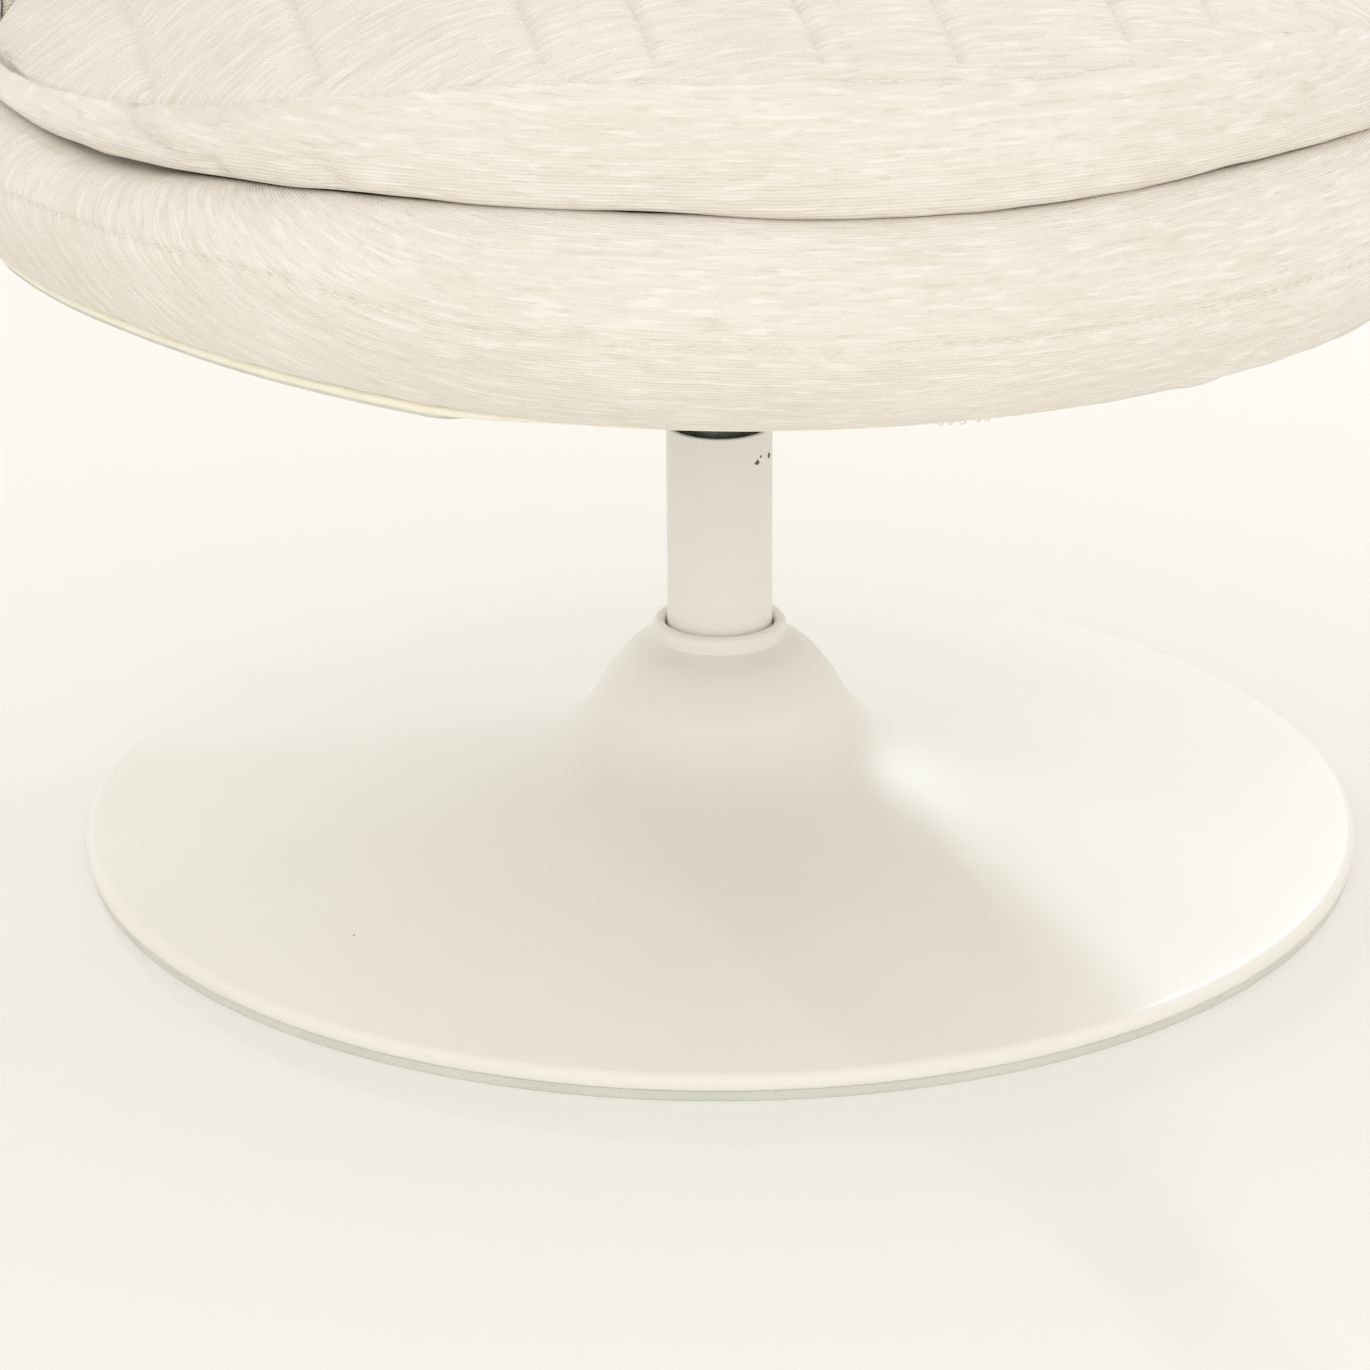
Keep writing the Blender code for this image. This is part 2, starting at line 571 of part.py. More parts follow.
def add_spindle():
    """Steel spindle fixed to the seat, its ring, and the hub and cross pin that hold it."""
    groove = SPINDLE_RADIUS - RETAINER_GROOVE
    edge = SPINDLE_RADIUS - SPINDLE_CHAMFER
    spindle = add_turned("spindle", [
        (0, spindle_foot_z), (edge, spindle_foot_z), (SPINDLE_RADIUS, spindle_foot_z + SPINDLE_CHAMFER),
        (SPINDLE_RADIUS, retainer_z - GAP), (groove, retainer_z - GAP),
        (groove, retainer_z + RETAINER_THICKNESS + GAP),
        (SPINDLE_RADIUS, retainer_z + RETAINER_THICKNESS + GAP),
        (SPINDLE_RADIUS, plate_top_z - SPINDLE_CHAMFER), (edge, plate_top_z), (0, plate_top_z)],
        "steel", turns=True)
    ring = tube_profile(groove + GAP, RETAINER_RADIUS, retainer_z, retainer_z + RETAINER_THICKNESS)
    bm = loop_bmesh(lambda angle: ring, BOLT_STEPS * 2, RETAINER_OPENING / 2, 360 - RETAINER_OPENING / 2)
    add_object("retaining_ring", bm, "steel", turns=True)
    hub = add_turned("spindle_hub", tube_profile(bush_bore, HUB_RADIUS, plate_z - GAP - HUB_LENGTH,
                                                 plate_z - GAP), "steel", turns=True)
    hole = pin_cutter()
    cut(spindle, hole)
    cut(hub, hole)
    bm = bmesh.new()
    bmesh.ops.create_cone(bm, cap_ends=True, segments=BOLT_STEPS, radius1=HUB_PIN_RADIUS,
                          radius2=HUB_PIN_RADIUS, depth=2 * HUB_RADIUS)
    bmesh.ops.rotate(bm, verts=bm.verts, matrix=Matrix.Rotation(radians(90), 3, "Y"))
    bmesh.ops.translate(bm, vec=(0, 0, plate_z - HUB_PIN_DROP), verts=bm.verts)
    add_object("hub_pin", bm, "steel", turns=True)


def seat_bolt_places():
    half = SEAT_BOLT_SPACING / 2
    return [(x, y) for x in (-half, half) for y in (-half, half)]


def add_swivel_plate():
    """Square steel plate under the seat with rounded corners."""
    bm = box_bmesh((-plate_side / 2, -plate_side / 2, plate_z), (plate_side / 2, plate_side / 2, plate_top_z))
    corners = [edge for edge in bm.edges if abs(edge.verts[0].co.z - edge.verts[1].co.z) > GAP]
    bmesh.ops.bevel(bm, geom=corners, offset=PLATE_CORNER, segments=4, profile=0.5, affect="EDGES",
                    material=-1)
    plate = add_object("swivel_plate", bm, "steel", turns=True)
    holes = rods_bmesh(seat_bolt_places(), SEAT_BOLT_RADIUS + GAP, plate_z - CUT_OVERRUN,
                       plate_top_z + CUT_OVERRUN)
    cut(plate, add_cutter("plate_holes", holes))
    centre_hole = rods_bmesh([(0, 0)], bush_bore, plate_z - CUT_OVERRUN, plate_top_z + CUT_OVERRUN,
                             TURNED_STEPS)
    cut(plate, add_cutter("plate_centre_hole", centre_hole))


def add_seat_board():
    """Plywood disc that the swivel plate bolts to, drilled for the tee nuts."""
    board = add_turned("seat_board", rod_profile(BOARD_RADIUS, board_z, board_top_z), "plywood", turns=True)
    holes = rods_bmesh(seat_bolt_places(), TEE_NUT_BARREL_RADIUS + GAP, board_z - CUT_OVERRUN,
                       board_top_z + CUT_OVERRUN)
    cut(board, add_cutter("board_holes", holes))


def add_seat_fasteners():
    """Flange bolts up through the plate, cloth and board into tee nuts."""
    head_top = plate_z - GAP
    skirt_low = head_top - SEAT_BOLT_SKIRT
    head_low = skirt_low - SEAT_BOLT_HEAD
    tip = head_top + SEAT_BOLT_LENGTH

    def bolt_loop(angle):
        side = hexagon_radius(SEAT_BOLT_ACROSS, angle)
        return [(0, head_low), (side, head_low), (side, skirt_low), (SEAT_BOLT_SKIRT_RADIUS, skirt_low),
                (SEAT_BOLT_SKIRT_RADIUS, head_top), (SEAT_BOLT_RADIUS, head_top), (SEAT_BOLT_RADIUS, tip),
                (0, tip)]

    nut_low = board_top_z - TEE_NUT_BARREL
    flange_low = board_top_z + GAP
    flange_high = flange_low + TEE_NUT_FLANGE
    bore = SEAT_BOLT_RADIUS + GAP
    nut = [(bore, nut_low), (TEE_NUT_BARREL_RADIUS, nut_low), (TEE_NUT_BARREL_RADIUS, flange_low),
           (TEE_NUT_FLANGE_RADIUS, flange_low), (TEE_NUT_FLANGE_RADIUS, flange_high), (bore, flange_high)]
    for k, place in enumerate(seat_bolt_places()):
        bolt = loop_bmesh(bolt_loop, BOLT_STEPS, centre=place)
        bmesh.ops.remove_doubles(bolt, verts=bolt.verts, dist=WELD_DISTANCE)
        bmesh.ops.dissolve_degenerate(bolt, edges=bolt.edges, dist=WELD_DISTANCE)
        add_object(f"seat_bolt_{k + 1}", bolt, "steel", turns=True)
        add_turned(f"tee_nut_{k + 1}", nut, "steel", BOLT_STEPS, turns=True, centre=place)


def shell_bottom_z(angle):
    """The shell's lower edge sweeps up from the front to the sides."""
    return SHELL_BOTTOM_Z + SHELL_BOTTOM_RISE * smooth_share(SHELL_BOTTOM_SHARES, folded(angle))


def folded(angle):
    """The same angle measured on one side: the chair is symmetric left and right."""
    angle = angle % 360
    return min(angle, 360 - angle)


def ridge_z(angle):
    return lerp(RIDGE_FRONT_Z, RIDGE_BACK_Z, smooth_share(RIDGE_SHARES, folded(angle)))


def crest_z(angle):
    return lerp(pad_z, CREST_BACK_Z, smooth_share(CREST_SHARES, folded(angle)))


def arm_share(angle):
    return smooth_share(ARM_SHARES, folded(angle))


def frame_top_z(angle):
    return crest_z(angle) - lerp(FRAME_DROP_FRONT, FRAME_DROP_ARM, arm_share(angle))


def pad_growth(angle):
    return PAD_SIDE_THICKNESS * smooth_share(PAD_GROWTH_SHARES, folded(angle))


def pad_face_radius(angle, rise):
    """Inner face of the back pad, rise being its share of the pad's height."""
    lumbar = PAD_LUMBAR * smooth_share(PAD_LUMBAR_SHARES, folded(angle)) * (1 - rise)
    return pad_outer_radius - pad_growth(angle) - lumbar


def add_ribs():
    """Plywood ribs from the board out to the hoop, carrying the seat ring."""
    outer = HOOP_INNER_RADIUS - 2 * GAP
    low = board_top_z + GAP
    high = ring_z - GAP
    for k in range(RIB_COUNT):
        angle = 360 * k / RIB_COUNT
        foot = shell_bottom_z(angle) + RIB_HEM_RISE + RIB_FOOT
        # Where the shell sweeps up, the rib ends on the ring before it reaches the hoop
        share = min(1, (high - RIB_TIP - low) / (foot - low))
        end, end_z = lerp(BOARD_RADIUS + RIB_FOOT, outer, share), lerp(low, foot, share)
        outline = [(RIB_INNER_RADIUS, low), (BOARD_RADIUS + RIB_FOOT, low), (end, end_z), (end, high),
                   (end - RIB_SHELF, high), (RIB_INNER_RADIUS, low + RIB_INNER_HEIGHT)]
        bm = bmesh.new()
        face = bm.faces.new([bm.verts.new(Vector((-RIB_THICKNESS / 2, -r, z))) for r, z in outline])
        made = bmesh.ops.extrude_face_region(bm, geom=[face])
        moved = [item for item in made["geom"] if isinstance(item, bmesh.types.BMVert)]
        bmesh.ops.translate(bm, vec=(RIB_THICKNESS, 0, 0), verts=moved)
        bmesh.ops.rotate(bm, verts=bm.verts, matrix=Matrix.Rotation(radians(angle), 3, "Z"))
        add_object(f"frame_rib_{k + 1}", bm, "plywood", turns=True, smooth=False)


def add_hoop_and_ring():
    """Bent plywood hoop that stiffens the shell's skirt, and the flat ring inside its top edge."""
    hem = CLOTH_EDGE_RISE + CLOTH_THICKNESS + GAP

    def hoop_loop(angle):
        low = shell_bottom_z(angle) + hem
        return tube_profile(HOOP_INNER_RADIUS, hoop_outer_radius, low, RING_TOP_Z)

    add_object("skirt_hoop", loop_bmesh(hoop_loop, SHELL_STEPS), "plywood", turns=True)
    add_turned("seat_ring", tube_profile(ring_inner_radius, ring_outer_radius, ring_z, RING_TOP_Z),
               "plywood", SHELL_STEPS // 2, turns=True)


def add_back_frame():
    """Bent plywood wall of the arms and back, standing on the hoop."""

    def wall_loop(angle):
        return tube_profile(HOOP_INNER_RADIUS, hoop_outer_radius, RING_TOP_Z + GAP, frame_top_z(angle))

    steps = round((360 - 2 * FRAME_START) * SHELL_STEPS / 360)
    bm = loop_bmesh(wall_loop, steps, FRAME_START, 360 - FRAME_START)
    add_object("back_frame", bm, "plywood", turns=True)


def add_straps():
    """Elastic webbing over the ring: one layer fore and aft, one layer across it."""
    reach = ring_outer_radius - STRAP_INSET
    for k in range(STRAP_COUNT):
        place = (k - (STRAP_COUNT - 1) / 2) * STRAP_PITCH
        half = sqrt(reach**2 - (abs(place) + STRAP_WIDTH / 2) ** 2) if place else reach
        low, high = place - STRAP_WIDTH / 2, place + STRAP_WIDTH / 2
        lower = box_bmesh((low, -half, lower_strap_z), (high, half, lower_strap_z + STRAP_THICKNESS))
        upper = box_bmesh((-half, low, upper_strap_z), (half, high, upper_strap_z + STRAP_THICKNESS))
        add_object(f"strap_lengthwise_{k + 1}", lower, "webbing", turns=True, smooth=False)
        add_object(f"strap_crosswise_{k + 1}", upper, "webbing", turns=True, smooth=False)


def add_deck_pad():
    profile = rod_profile(shell_lip_radius - 2 * GAP, deck_z, deck_top_z)
    add_turned("deck_pad", profile, "felt", SHELL_STEPS // 2, turns=True)


def add_shell_cover():
    """Padded outer shell in chenille: a sloping lower panel up to the ridge seam, a narrow upper
    facet, then the crest that rolls in over the frame's top edge."""

    def bulged(start, end, share):
        swell = PANEL_BULGE * sin(pi * share)
        return (lerp(start[0], end[0], share) + swell, lerp(start[1], end[1], share))

    def shell_loop(angle):
        low, ridge, crest = shell_bottom_z(angle), ridge_z(angle), crest_z(angle)
        top = frame_top_z(angle)
        roll = lerp(CREST_ROLL_FRONT, CREST_ROLL_ARM, arm_share(angle))
        hem = (shell_bottom_radius, low)
        seam = (ridge_radius, ridge)
        crown = (crest_radius, crest)
        panel = [bulged(hem, seam, share) for share in PANEL_ROW_SHARES]
        facet = [bulged(seam, crown, share) for share in FACET_ROW_SHARES]
        return [hem, *panel, seam, *facet, crown,
                (crest_radius - CREST_APEX, crest + roll), (shell_lip_radius, crest - CREST_LIP_DROP),
                (shell_lip_radius, top + SHELL_SHOULDER),
                (HOOP_INNER_RADIUS - GAP, top + SHELL_SHOULDER - GAP),
                (shell_inner_wall, top + SHELL_OVER_FRAME), (shell_inner_wall, lerp(low, top, 0.5)),
                (shell_inner_wall, low + SHELL_BOTTOM_STEP)]

    add_object("shell_cover", loop_bmesh(shell_loop, SHELL_STEPS), "chenille", turns=True)


def add_inner_pad():
    """Channelled pad inside the arms and back, thickest at the small of the back."""
    start, end = PAD_START, 360 - PAD_START

    def pad_loop(angle):
        channel = (angle - start) / (end - start) * PAD_CHANNELS
        puff = abs(sin(pi * channel)) ** CHANNEL_PUFF
        depth = min(PAD_CHANNEL_DEPTH, pad_growth(angle) / 3) * (1 - puff)
        crest = crest_z(angle)
        top = frame_top_z(angle)
        edge = shell_lip_radius - 2 * GAP
        height = crest - PAD_ROLL_DROP - pad_z
        rows = [(min(pad_face_radius(angle, t) + depth, edge - GAP), pad_z + height * t)
                for t in PAD_ROW_SHARES]
        roll = (min(pad_face_radius(angle, 1) + depth / 2 + PAD_ROLL, edge - GAP / 2),
                pad_z + height + GAP)
        return rows + [roll, (edge, crest - PAD_EDGE_DROP), (edge, top + PAD_SHOULDER + GAP),
                       (pad_outer_radius, top + PAD_SHOULDER), (pad_outer_radius, lerp(pad_z, top, 0.5)),
                       (pad_outer_radius, pad_z)]

    bm = loop_bmesh(pad_loop, PAD_CHANNELS * CHANNEL_STEPS, start, end)
    add_object("inner_pad", bm, "chenille", turns=True)


def add_underside():
    """Dust cloth stretched from the board to the skirt, and the welt along the skirt's hem."""

    def cloth_loop(angle):
        edge = shell_bottom_z(angle) + CLOTH_EDGE_RISE
        flat = BOARD_RADIUS + RIB_FOOT / 2
        return [(CLOTH_HOLE_RADIUS, cloth_z), (flat, cloth_z), (cloth_edge_radius, edge),
                (cloth_edge_radius, edge + CLOTH_THICKNESS), (flat, cloth_top_z),
                (CLOTH_HOLE_RADIUS, cloth_top_z)]

    cloth = add_object("underside_cloth", loop_bmesh(cloth_loop, SHELL_STEPS), "underside_cloth", turns=True)
    holes = rods_bmesh(seat_bolt_places(), SEAT_BOLT_RADIUS + GAP, cloth_z - CUT_OVERRUN,
                       cloth_top_z + CUT_OVERRUN)
    cut(cloth, add_cutter("cloth_holes", holes))

    def welt_loop(angle):
        z = shell_bottom_z(angle) + WELT_RISE
        turns = [2 * pi * k / WELT_SIDES for k in range(WELT_SIDES)]
        return [(welt_ring_radius + WELT_RADIUS * cos(t), z + WELT_RADIUS * sin(t)) for t in turns]

    add_object("bottom_welt", loop_bmesh(welt_loop, SHELL_STEPS), "welt", turns=True)


def cushion_bulge(angle):
    return lerp(CUSHION_BULGE_FRONT, CUSHION_BULGE_ARM, arm_share(angle))


def cushion_radius(angle):
    """Plan of the cushion at its boxing seam: round in front, held in by the arms and back."""
    free = cushion_front_radius * smooth_share(CUSHION_PLAN_SHARES, folded(angle))
    held = pad_face_radius(angle, 0) - CUSHION_BULGE_ARM - CUSHION_SIDE_GAP
    return min(free, held) if folded(angle) > PAD_START else free


def cushion_floor_z(angle):
    return pad_z + CUSHION_REST + CUSHION_LIFT * smooth_share(CUSHION_LIFT_SHARES, folded(angle))


def cushion_seam_z(angle):
    return pad_z + CUSHION_REST + CUSHION_SEAM_HEIGHT * smooth_share(CUSHION_SEAM_SHARES, folded(angle))


def cushion_crown_z(x, y):
    """Top of the cushion without its channels."""
    angle = degrees(atan2(x, -y))
    share = min(hypot(x, y) / cushion_radius(angle), 1)
    return lerp(CUSHION_CROWN_Z, cushion_seam_z(angle), share**CUSHION_CROWN_POWER)


def cushion_columns():
    """Column places across the cushion: steps within each channel, then the narrow ends."""
    angles = np.linspace(0, 180, 721)
    plan = [(cushion_radius(a) * sin(radians(a)), -cushion_radius(a) * cos(radians(a))) for a in angles]
    widest = max(range(len(plan)), key=lambda k: plan[k][0])
    half = plan[widest][0]
    inside = floor(half / CUSHION_CHANNEL_PITCH)
    steps = inside * CHANNEL_STEPS
    right = [CUSHION_CHANNEL_PITCH * k / CHANNEL_STEPS for k in range(steps + 1)]
    right += [lerp(right[-1], half, share) for share in CUSHION_END_SHARES]
    places = [-x for x in reversed(right[1:])] + right
    front_x, front_y = zip(*plan[: widest + 1])
    back_x, back_y = zip(*reversed(plan[widest:]))
    return [(x, np.interp(abs(x), front_x, front_y), np.interp(abs(x), back_x, back_y)) for x in places]


def channel_groove(x, edge_distance):
    """Depth of the sewn channels, fading out towards the boxing seam."""
    puff = abs(sin(pi * x / CUSHION_CHANNEL_PITCH)) ** CHANNEL_PUFF
    fade = min(edge_distance / CUSHION_CHANNEL_REACH, 1)
    return CUSHION_CHANNEL_DEPTH * (1 - puff) * fade


def core_bmesh(grow):
    """The foam core, or with a clearance its pocket in the cover."""

    def core_loop(angle):
        outline = cushion_radius(angle) * CORE_INSET_SHARE
        low = pad_z + CORE_FLOOR - grow
        points = [(0, low), (outline + grow, low)]
        for share in CORE_ROW_SHARES:
            place = polar(outline * share, angle, 0)
            points.append((outline * share + grow, cushion_crown_z(place.x, place.y) - CORE_COVER + grow))
        return points + [(0, CUSHION_CROWN_Z - CORE_COVER + grow)]

    bm = loop_bmesh(core_loop, CORE_STEPS)
    bmesh.ops.remove_doubles(bm, verts=bm.verts, dist=WELD_DISTANCE)
    bmesh.ops.dissolve_degenerate(bm, edges=bm.edges, dist=WELD_DISTANCE)
    return bm


def zip_loop(depth_in, depth_out, grow):
    """Section of the zip along the cushion's rear band."""

    def section(angle):
        radius = cushion_radius(angle) + cushion_bulge(angle)
        low = cushion_floor_z(angle) + ZIP_RISE
        return tube_profile(radius - depth_in, radius - depth_out, low - grow, low + ZIP_HEIGHT + grow)

    return section


def add_cushion():
    """Loose seat cushion: crowned top in sewn channels, boxing band, flat underside."""
    bm = bmesh.new()
    columns = cushion_columns()
    grid = []
    for x, front, back in columns:
        column = []
        for share in CUSHION_ROW_SHARES:
            y = lerp(front, back, share)
            edge = min(y - front, back - y)
            column.append(bm.verts.new((x, y, cushion_crown_z(x, y) - channel_groove(x, edge))))
        grid.append(column)
    for one, two in zip(grid, grid[1:]):
        for i in range(len(one) - 1):
            bm.faces.new((one[i], two[i], two[i + 1], one[i + 1]))
    edge = ([column[0] for column in grid] + grid[-1][1:] + [column[-1] for column in reversed(grid[:-1])]
            + list(reversed(grid[0][1:-1])))
    rims = [edge]
    angles = [degrees(atan2(vert.co.x, -vert.co.y)) for vert in edge]
    for out, down in CUSHION_SIDE_SHARES:
        ring = []
        for vert, angle in zip(edge, angles):
            radius = hypot(vert.co.x, vert.co.y) + cushion_bulge(angle) * out
            z = lerp(cushion_seam_z(angle), cushion_floor_z(angle), down)
            ring.append(bm.verts.new(polar(radius, angle, z)))
        rims.append(ring)
    rims.append([bm.verts.new(polar(hypot(vert.co.x, vert.co.y) - CUSHION_EDGE_INSET, angle,
                                    cushion_floor_z(angle))) for vert, angle in zip(edge, angles)])
    for one, two in zip(rims, rims[1:]):
        for i in range(len(one)):
            j = (i + 1) % len(one)
            bm.faces.new((one[i], one[j], two[j], two[i]))
    inner = [bm.verts.new(Vector((vert.co.x * CUSHION_REST_SHARE, vert.co.y * CUSHION_REST_SHARE, pad_z)))
             for vert in edge]
    for i in range(len(inner)):
        j = (i + 1) % len(inner)
        bm.faces.new((rims[-1][i], rims[-1][j], inner[j], inner[i]))
    bm.faces.new(inner)
    cushion = add_object("seat_cushion", bm, "chenille", turns=True)
    cut(cushion, add_cutter("core_pocket", core_bmesh(GAP)))
    start, end = 180 - ZIP_HALF_ANGLE, 180 + ZIP_HALF_ANGLE
    margin = degrees(GAP / cushion_front_radius) * 2
    slot = loop_bmesh(zip_loop(ZIP_SLOT_DEPTH, -CUT_OVERRUN, GAP),
                      CORE_STEPS // 2, start - margin, end + margin)
    cut(cushion, add_cutter("zip_slot", slot))
    add_object("cushion_core", core_bmesh(0), "foam", turns=True)
    zip_bm = loop_bmesh(zip_loop(ZIP_DEPTH, ZIP_SET_BACK, 0), CORE_STEPS // 2, start, end)
    add_object("cushion_zip", zip_bm, "zip", turns=True)


add_base_trumpet()
add_glide_ring()
add_base_plate()
add_ballast_ring()
add_column()
add_base_fasteners()
add_bearing()
add_spindle()
add_swivel_plate()
add_seat_board()
add_seat_fasteners()
add_ribs()
add_hoop_and_ring()
add_back_frame()
add_straps()
add_deck_pad()
add_shell_cover()
add_inner_pad()
add_underside()
add_cushion()
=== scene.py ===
"""Swivel tub armchair in cream chenille on a powder-coated trumpet base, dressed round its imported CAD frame.
Metres, +Z up, front towards -Y. Angles run from the chair's front (0) over its right arm (90) to the back (180)."""

import json
from math import atan2, cos, degrees, hypot, pi, radians, sin, sqrt

import bmesh
import bpy
import numpy as np
from mathutils import Matrix, Vector, noise

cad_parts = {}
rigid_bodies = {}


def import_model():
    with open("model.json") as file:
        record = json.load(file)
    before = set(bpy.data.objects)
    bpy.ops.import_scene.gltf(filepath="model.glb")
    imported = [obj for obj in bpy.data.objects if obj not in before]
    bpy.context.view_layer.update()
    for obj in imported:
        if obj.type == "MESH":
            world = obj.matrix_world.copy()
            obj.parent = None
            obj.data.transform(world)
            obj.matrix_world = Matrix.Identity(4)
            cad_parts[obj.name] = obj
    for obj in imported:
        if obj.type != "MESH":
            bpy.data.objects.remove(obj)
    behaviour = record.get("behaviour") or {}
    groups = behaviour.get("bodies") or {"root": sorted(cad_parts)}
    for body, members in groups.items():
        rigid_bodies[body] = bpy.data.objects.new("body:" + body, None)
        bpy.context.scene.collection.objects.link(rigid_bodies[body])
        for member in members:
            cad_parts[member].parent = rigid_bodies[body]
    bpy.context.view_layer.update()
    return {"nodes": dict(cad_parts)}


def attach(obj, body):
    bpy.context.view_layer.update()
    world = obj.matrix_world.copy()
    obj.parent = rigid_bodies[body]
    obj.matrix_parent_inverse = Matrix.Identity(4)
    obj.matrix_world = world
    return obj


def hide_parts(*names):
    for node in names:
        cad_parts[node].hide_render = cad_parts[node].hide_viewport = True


for leftover in list(bpy.data.objects):
    bpy.data.objects.remove(leftover)
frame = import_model()
scene = bpy.context.scene

# ------------------------
# Trumpet base: a steel disc spun over a former into a flare. Its top is rolled into a collar round the
# column and its rim is rolled under the base plate, then the whole is powder-coated a warm off-white.

RIM_RADIUS = 0.3047
RIM_TOP_Z = 0.0125
RIM_SHOULDER = 0.0052
LIP_LOW_Z = 0.005
LIP_WIDTH = 0.0147
BASE_WALL = 0.0015
NECK_RADIUS = 0.0312
NECK_Z = 0.0975
COLLAR_OUTER = 0.0318
COLLAR_INNER = 0.0259
COLLAR_TOP_Z = 0.1058
# Share of the run from neck to rim, share of the neck's height above the rim
FLARE = ((0, 1), (0.043, 0.925), (0.086, 0.765), (0.115, 0.607), (0.152, 0.475), (0.212, 0.36), (0.305, 0.26),
         (0.444, 0.171), (0.63, 0.094), (0.817, 0.04), (1, 0))


class Wire:
    """A shader socket that takes part in Python arithmetic: each operator adds its Math node."""

    def __init__(self, finish, socket):
        self.finish, self.socket = finish, socket

    def maths(self, operation, *values):
        return self.finish.maths(operation, self, *values)

    def __add__(self, other):
        return self.maths("ADD", other)

    def __mul__(self, other):
        return self.maths("MULTIPLY", other)

    def __sub__(self, other):
        return self.maths("SUBTRACT", other)

    def __rsub__(self, other):
        return self.finish.maths("SUBTRACT", other, self)

    __radd__, __rmul__ = __add__, __mul__


class Finish:
    """A material under construction, with one way to add any node."""

    def __init__(self, name, **constants):
        self.material = bpy.data.materials.new(name)
        self.material.use_nodes = True
        self.tree = self.material.node_tree
        self.shader = self.tree.nodes["Principled BSDF"]
        for socket, value in constants.items():
            self.shader.inputs[socket.replace("_", " ")].default_value = value

    def add(self, kind, settings=None, inputs=None, out=0):
        node = self.tree.nodes.new("ShaderNode" + kind)
        for key, value in (settings or {}).items():
            if key == "stops":
                ramp = node.color_ramp
                for k, (place, shade) in enumerate(value):
                    stop = ramp.elements[k] if k < 2 else ramp.elements.new(place)
                    stop.position = place
                    stop.color = (shade, shade, shade, 1) if isinstance(shade, (int, float)) else (*shade, 1)
            else:
                setattr(node, key, value)
        for key, value in (inputs or {}).items():
            if isinstance(value, Wire):
                self.tree.links.new(value.socket, node.inputs[key])
            else:
                node.inputs[key].default_value = value
        return Wire(self, node.outputs[out])

    def maths(self, operation, *values):
        return self.add("Math", {"operation": operation}, dict(enumerate(values)))

    def place(self):
        """Object coordinates, in metres."""
        return self.add("TexCoord", out="Object")

    def stretched(self, vector, scale, turn=(0, 0, 0)):
        return self.add("Mapping", None, {"Vector": vector, "Scale": scale, "Rotation": turn})

    def noise(self, vector, scale=1.0, detail=2.0, rough=0.5):
        return self.add("TexNoise", None, {"Vector": vector, "Scale": scale, "Detail": detail, "Roughness": rough})

    def ramp(self, value, *stops):
        return self.add("ValToRGB", {"stops": stops}, {0: value})

    def mixed(self, share, one, two):
        one, two = [(*c, 1) if isinstance(c, tuple) else c for c in (one, two)]
        return self.add("Mix", {"data_type": "RGBA"}, {0: share, 6: one, 7: two}, out=2)

    def raised(self, height, distance, strength=1.0):
        bump = self.add("Bump", None, {"Height": height, "Distance": distance, "Strength": strength})
        self.feed("Normal", bump)

    def feed(self, socket, wire):
        self.tree.links.new(wire.socket, self.shader.inputs[socket])


def smooth_line(points, steps):
    """Points along a smooth curve through (radius, z) pairs."""
    line = []
    for k in range(len(points) - 1):
        a, b = Vector(points[k]), Vector(points[k + 1])
        before = Vector(points[k - 1]) if k else a * 2 - b
        after = Vector(points[k + 2]) if k + 2 < len(points) else b * 2 - a
        line += [tuple(0.5 * (2 * a + (b - before) * t + (2 * before - 5 * a + 4 * b - after) * t**2
                              + (3 * a - before - 3 * b + after) * t**3)) for t in np.arange(steps) / steps]
    return line + [tuple(points[-1])]


def eased(corners, steps=4):
    """A profile from (radius, z, ease) corners, each corner eased over that length on both sides."""
    line = []
    for k, (r, z, ease) in enumerate(corners):
        here = Vector((r, z))
        if not ease:
            line.append((r, z))
            continue
        one, two = Vector(corners[k - 1][:2]), Vector(corners[(k + 1) % len(corners)][:2])
        a, b = here + (one - here).normalized() * ease, here + (two - here).normalized() * ease
        line += [tuple(a * (1 - t)**2 + here * 2 * t * (1 - t) + b * t**2) for t in np.arange(steps + 1) / steps]
    return line


def spun(profile, steps):
    """A closed (radius, z) profile spun round the column's axis."""
    bm = bmesh.new()
    verts = [bm.verts.new((r, 0, z)) for r, z in profile]
    edges = [bm.edges.new(pair) for pair in zip(verts, verts[1:] + verts[:1])]
    bmesh.ops.spin(bm, geom=verts + edges, cent=(0, 0, 0), axis=(0, 0, 1), angle=2 * pi, steps=steps,
                   use_merge=True)
    return bm


def linked(name, data):
    obj = bpy.data.objects.new(name, data)
    scene.collection.objects.link(obj)
    return obj


def meshed(name, bm):
    mesh = bpy.data.meshes.new(name)
    bm.to_mesh(mesh)
    bm.free()
    return mesh


def fitted(name, bm, finish, body, nodes=(), sharp=40, weld=0.00002):
    """The finished piece: normals outward, material on, riding on its body and standing for its CAD nodes."""
    bmesh.ops.remove_doubles(bm, verts=bm.verts, dist=weld)
    bmesh.ops.dissolve_degenerate(bm, edges=bm.edges, dist=weld)
    bmesh.ops.recalc_face_normals(bm, faces=bm.faces)
    if bm.calc_volume(signed=True) < 0:
        bmesh.ops.reverse_faces(bm, faces=bm.faces)
    mesh = meshed(name, bm)
    mesh.shade_smooth()
    mesh.set_sharp_from_angle(angle=radians(sharp))
    mesh.materials.append(finish.material)
    obj = linked(name, mesh)
    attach(obj, body)
    if nodes:
        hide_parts(*nodes)
    return obj


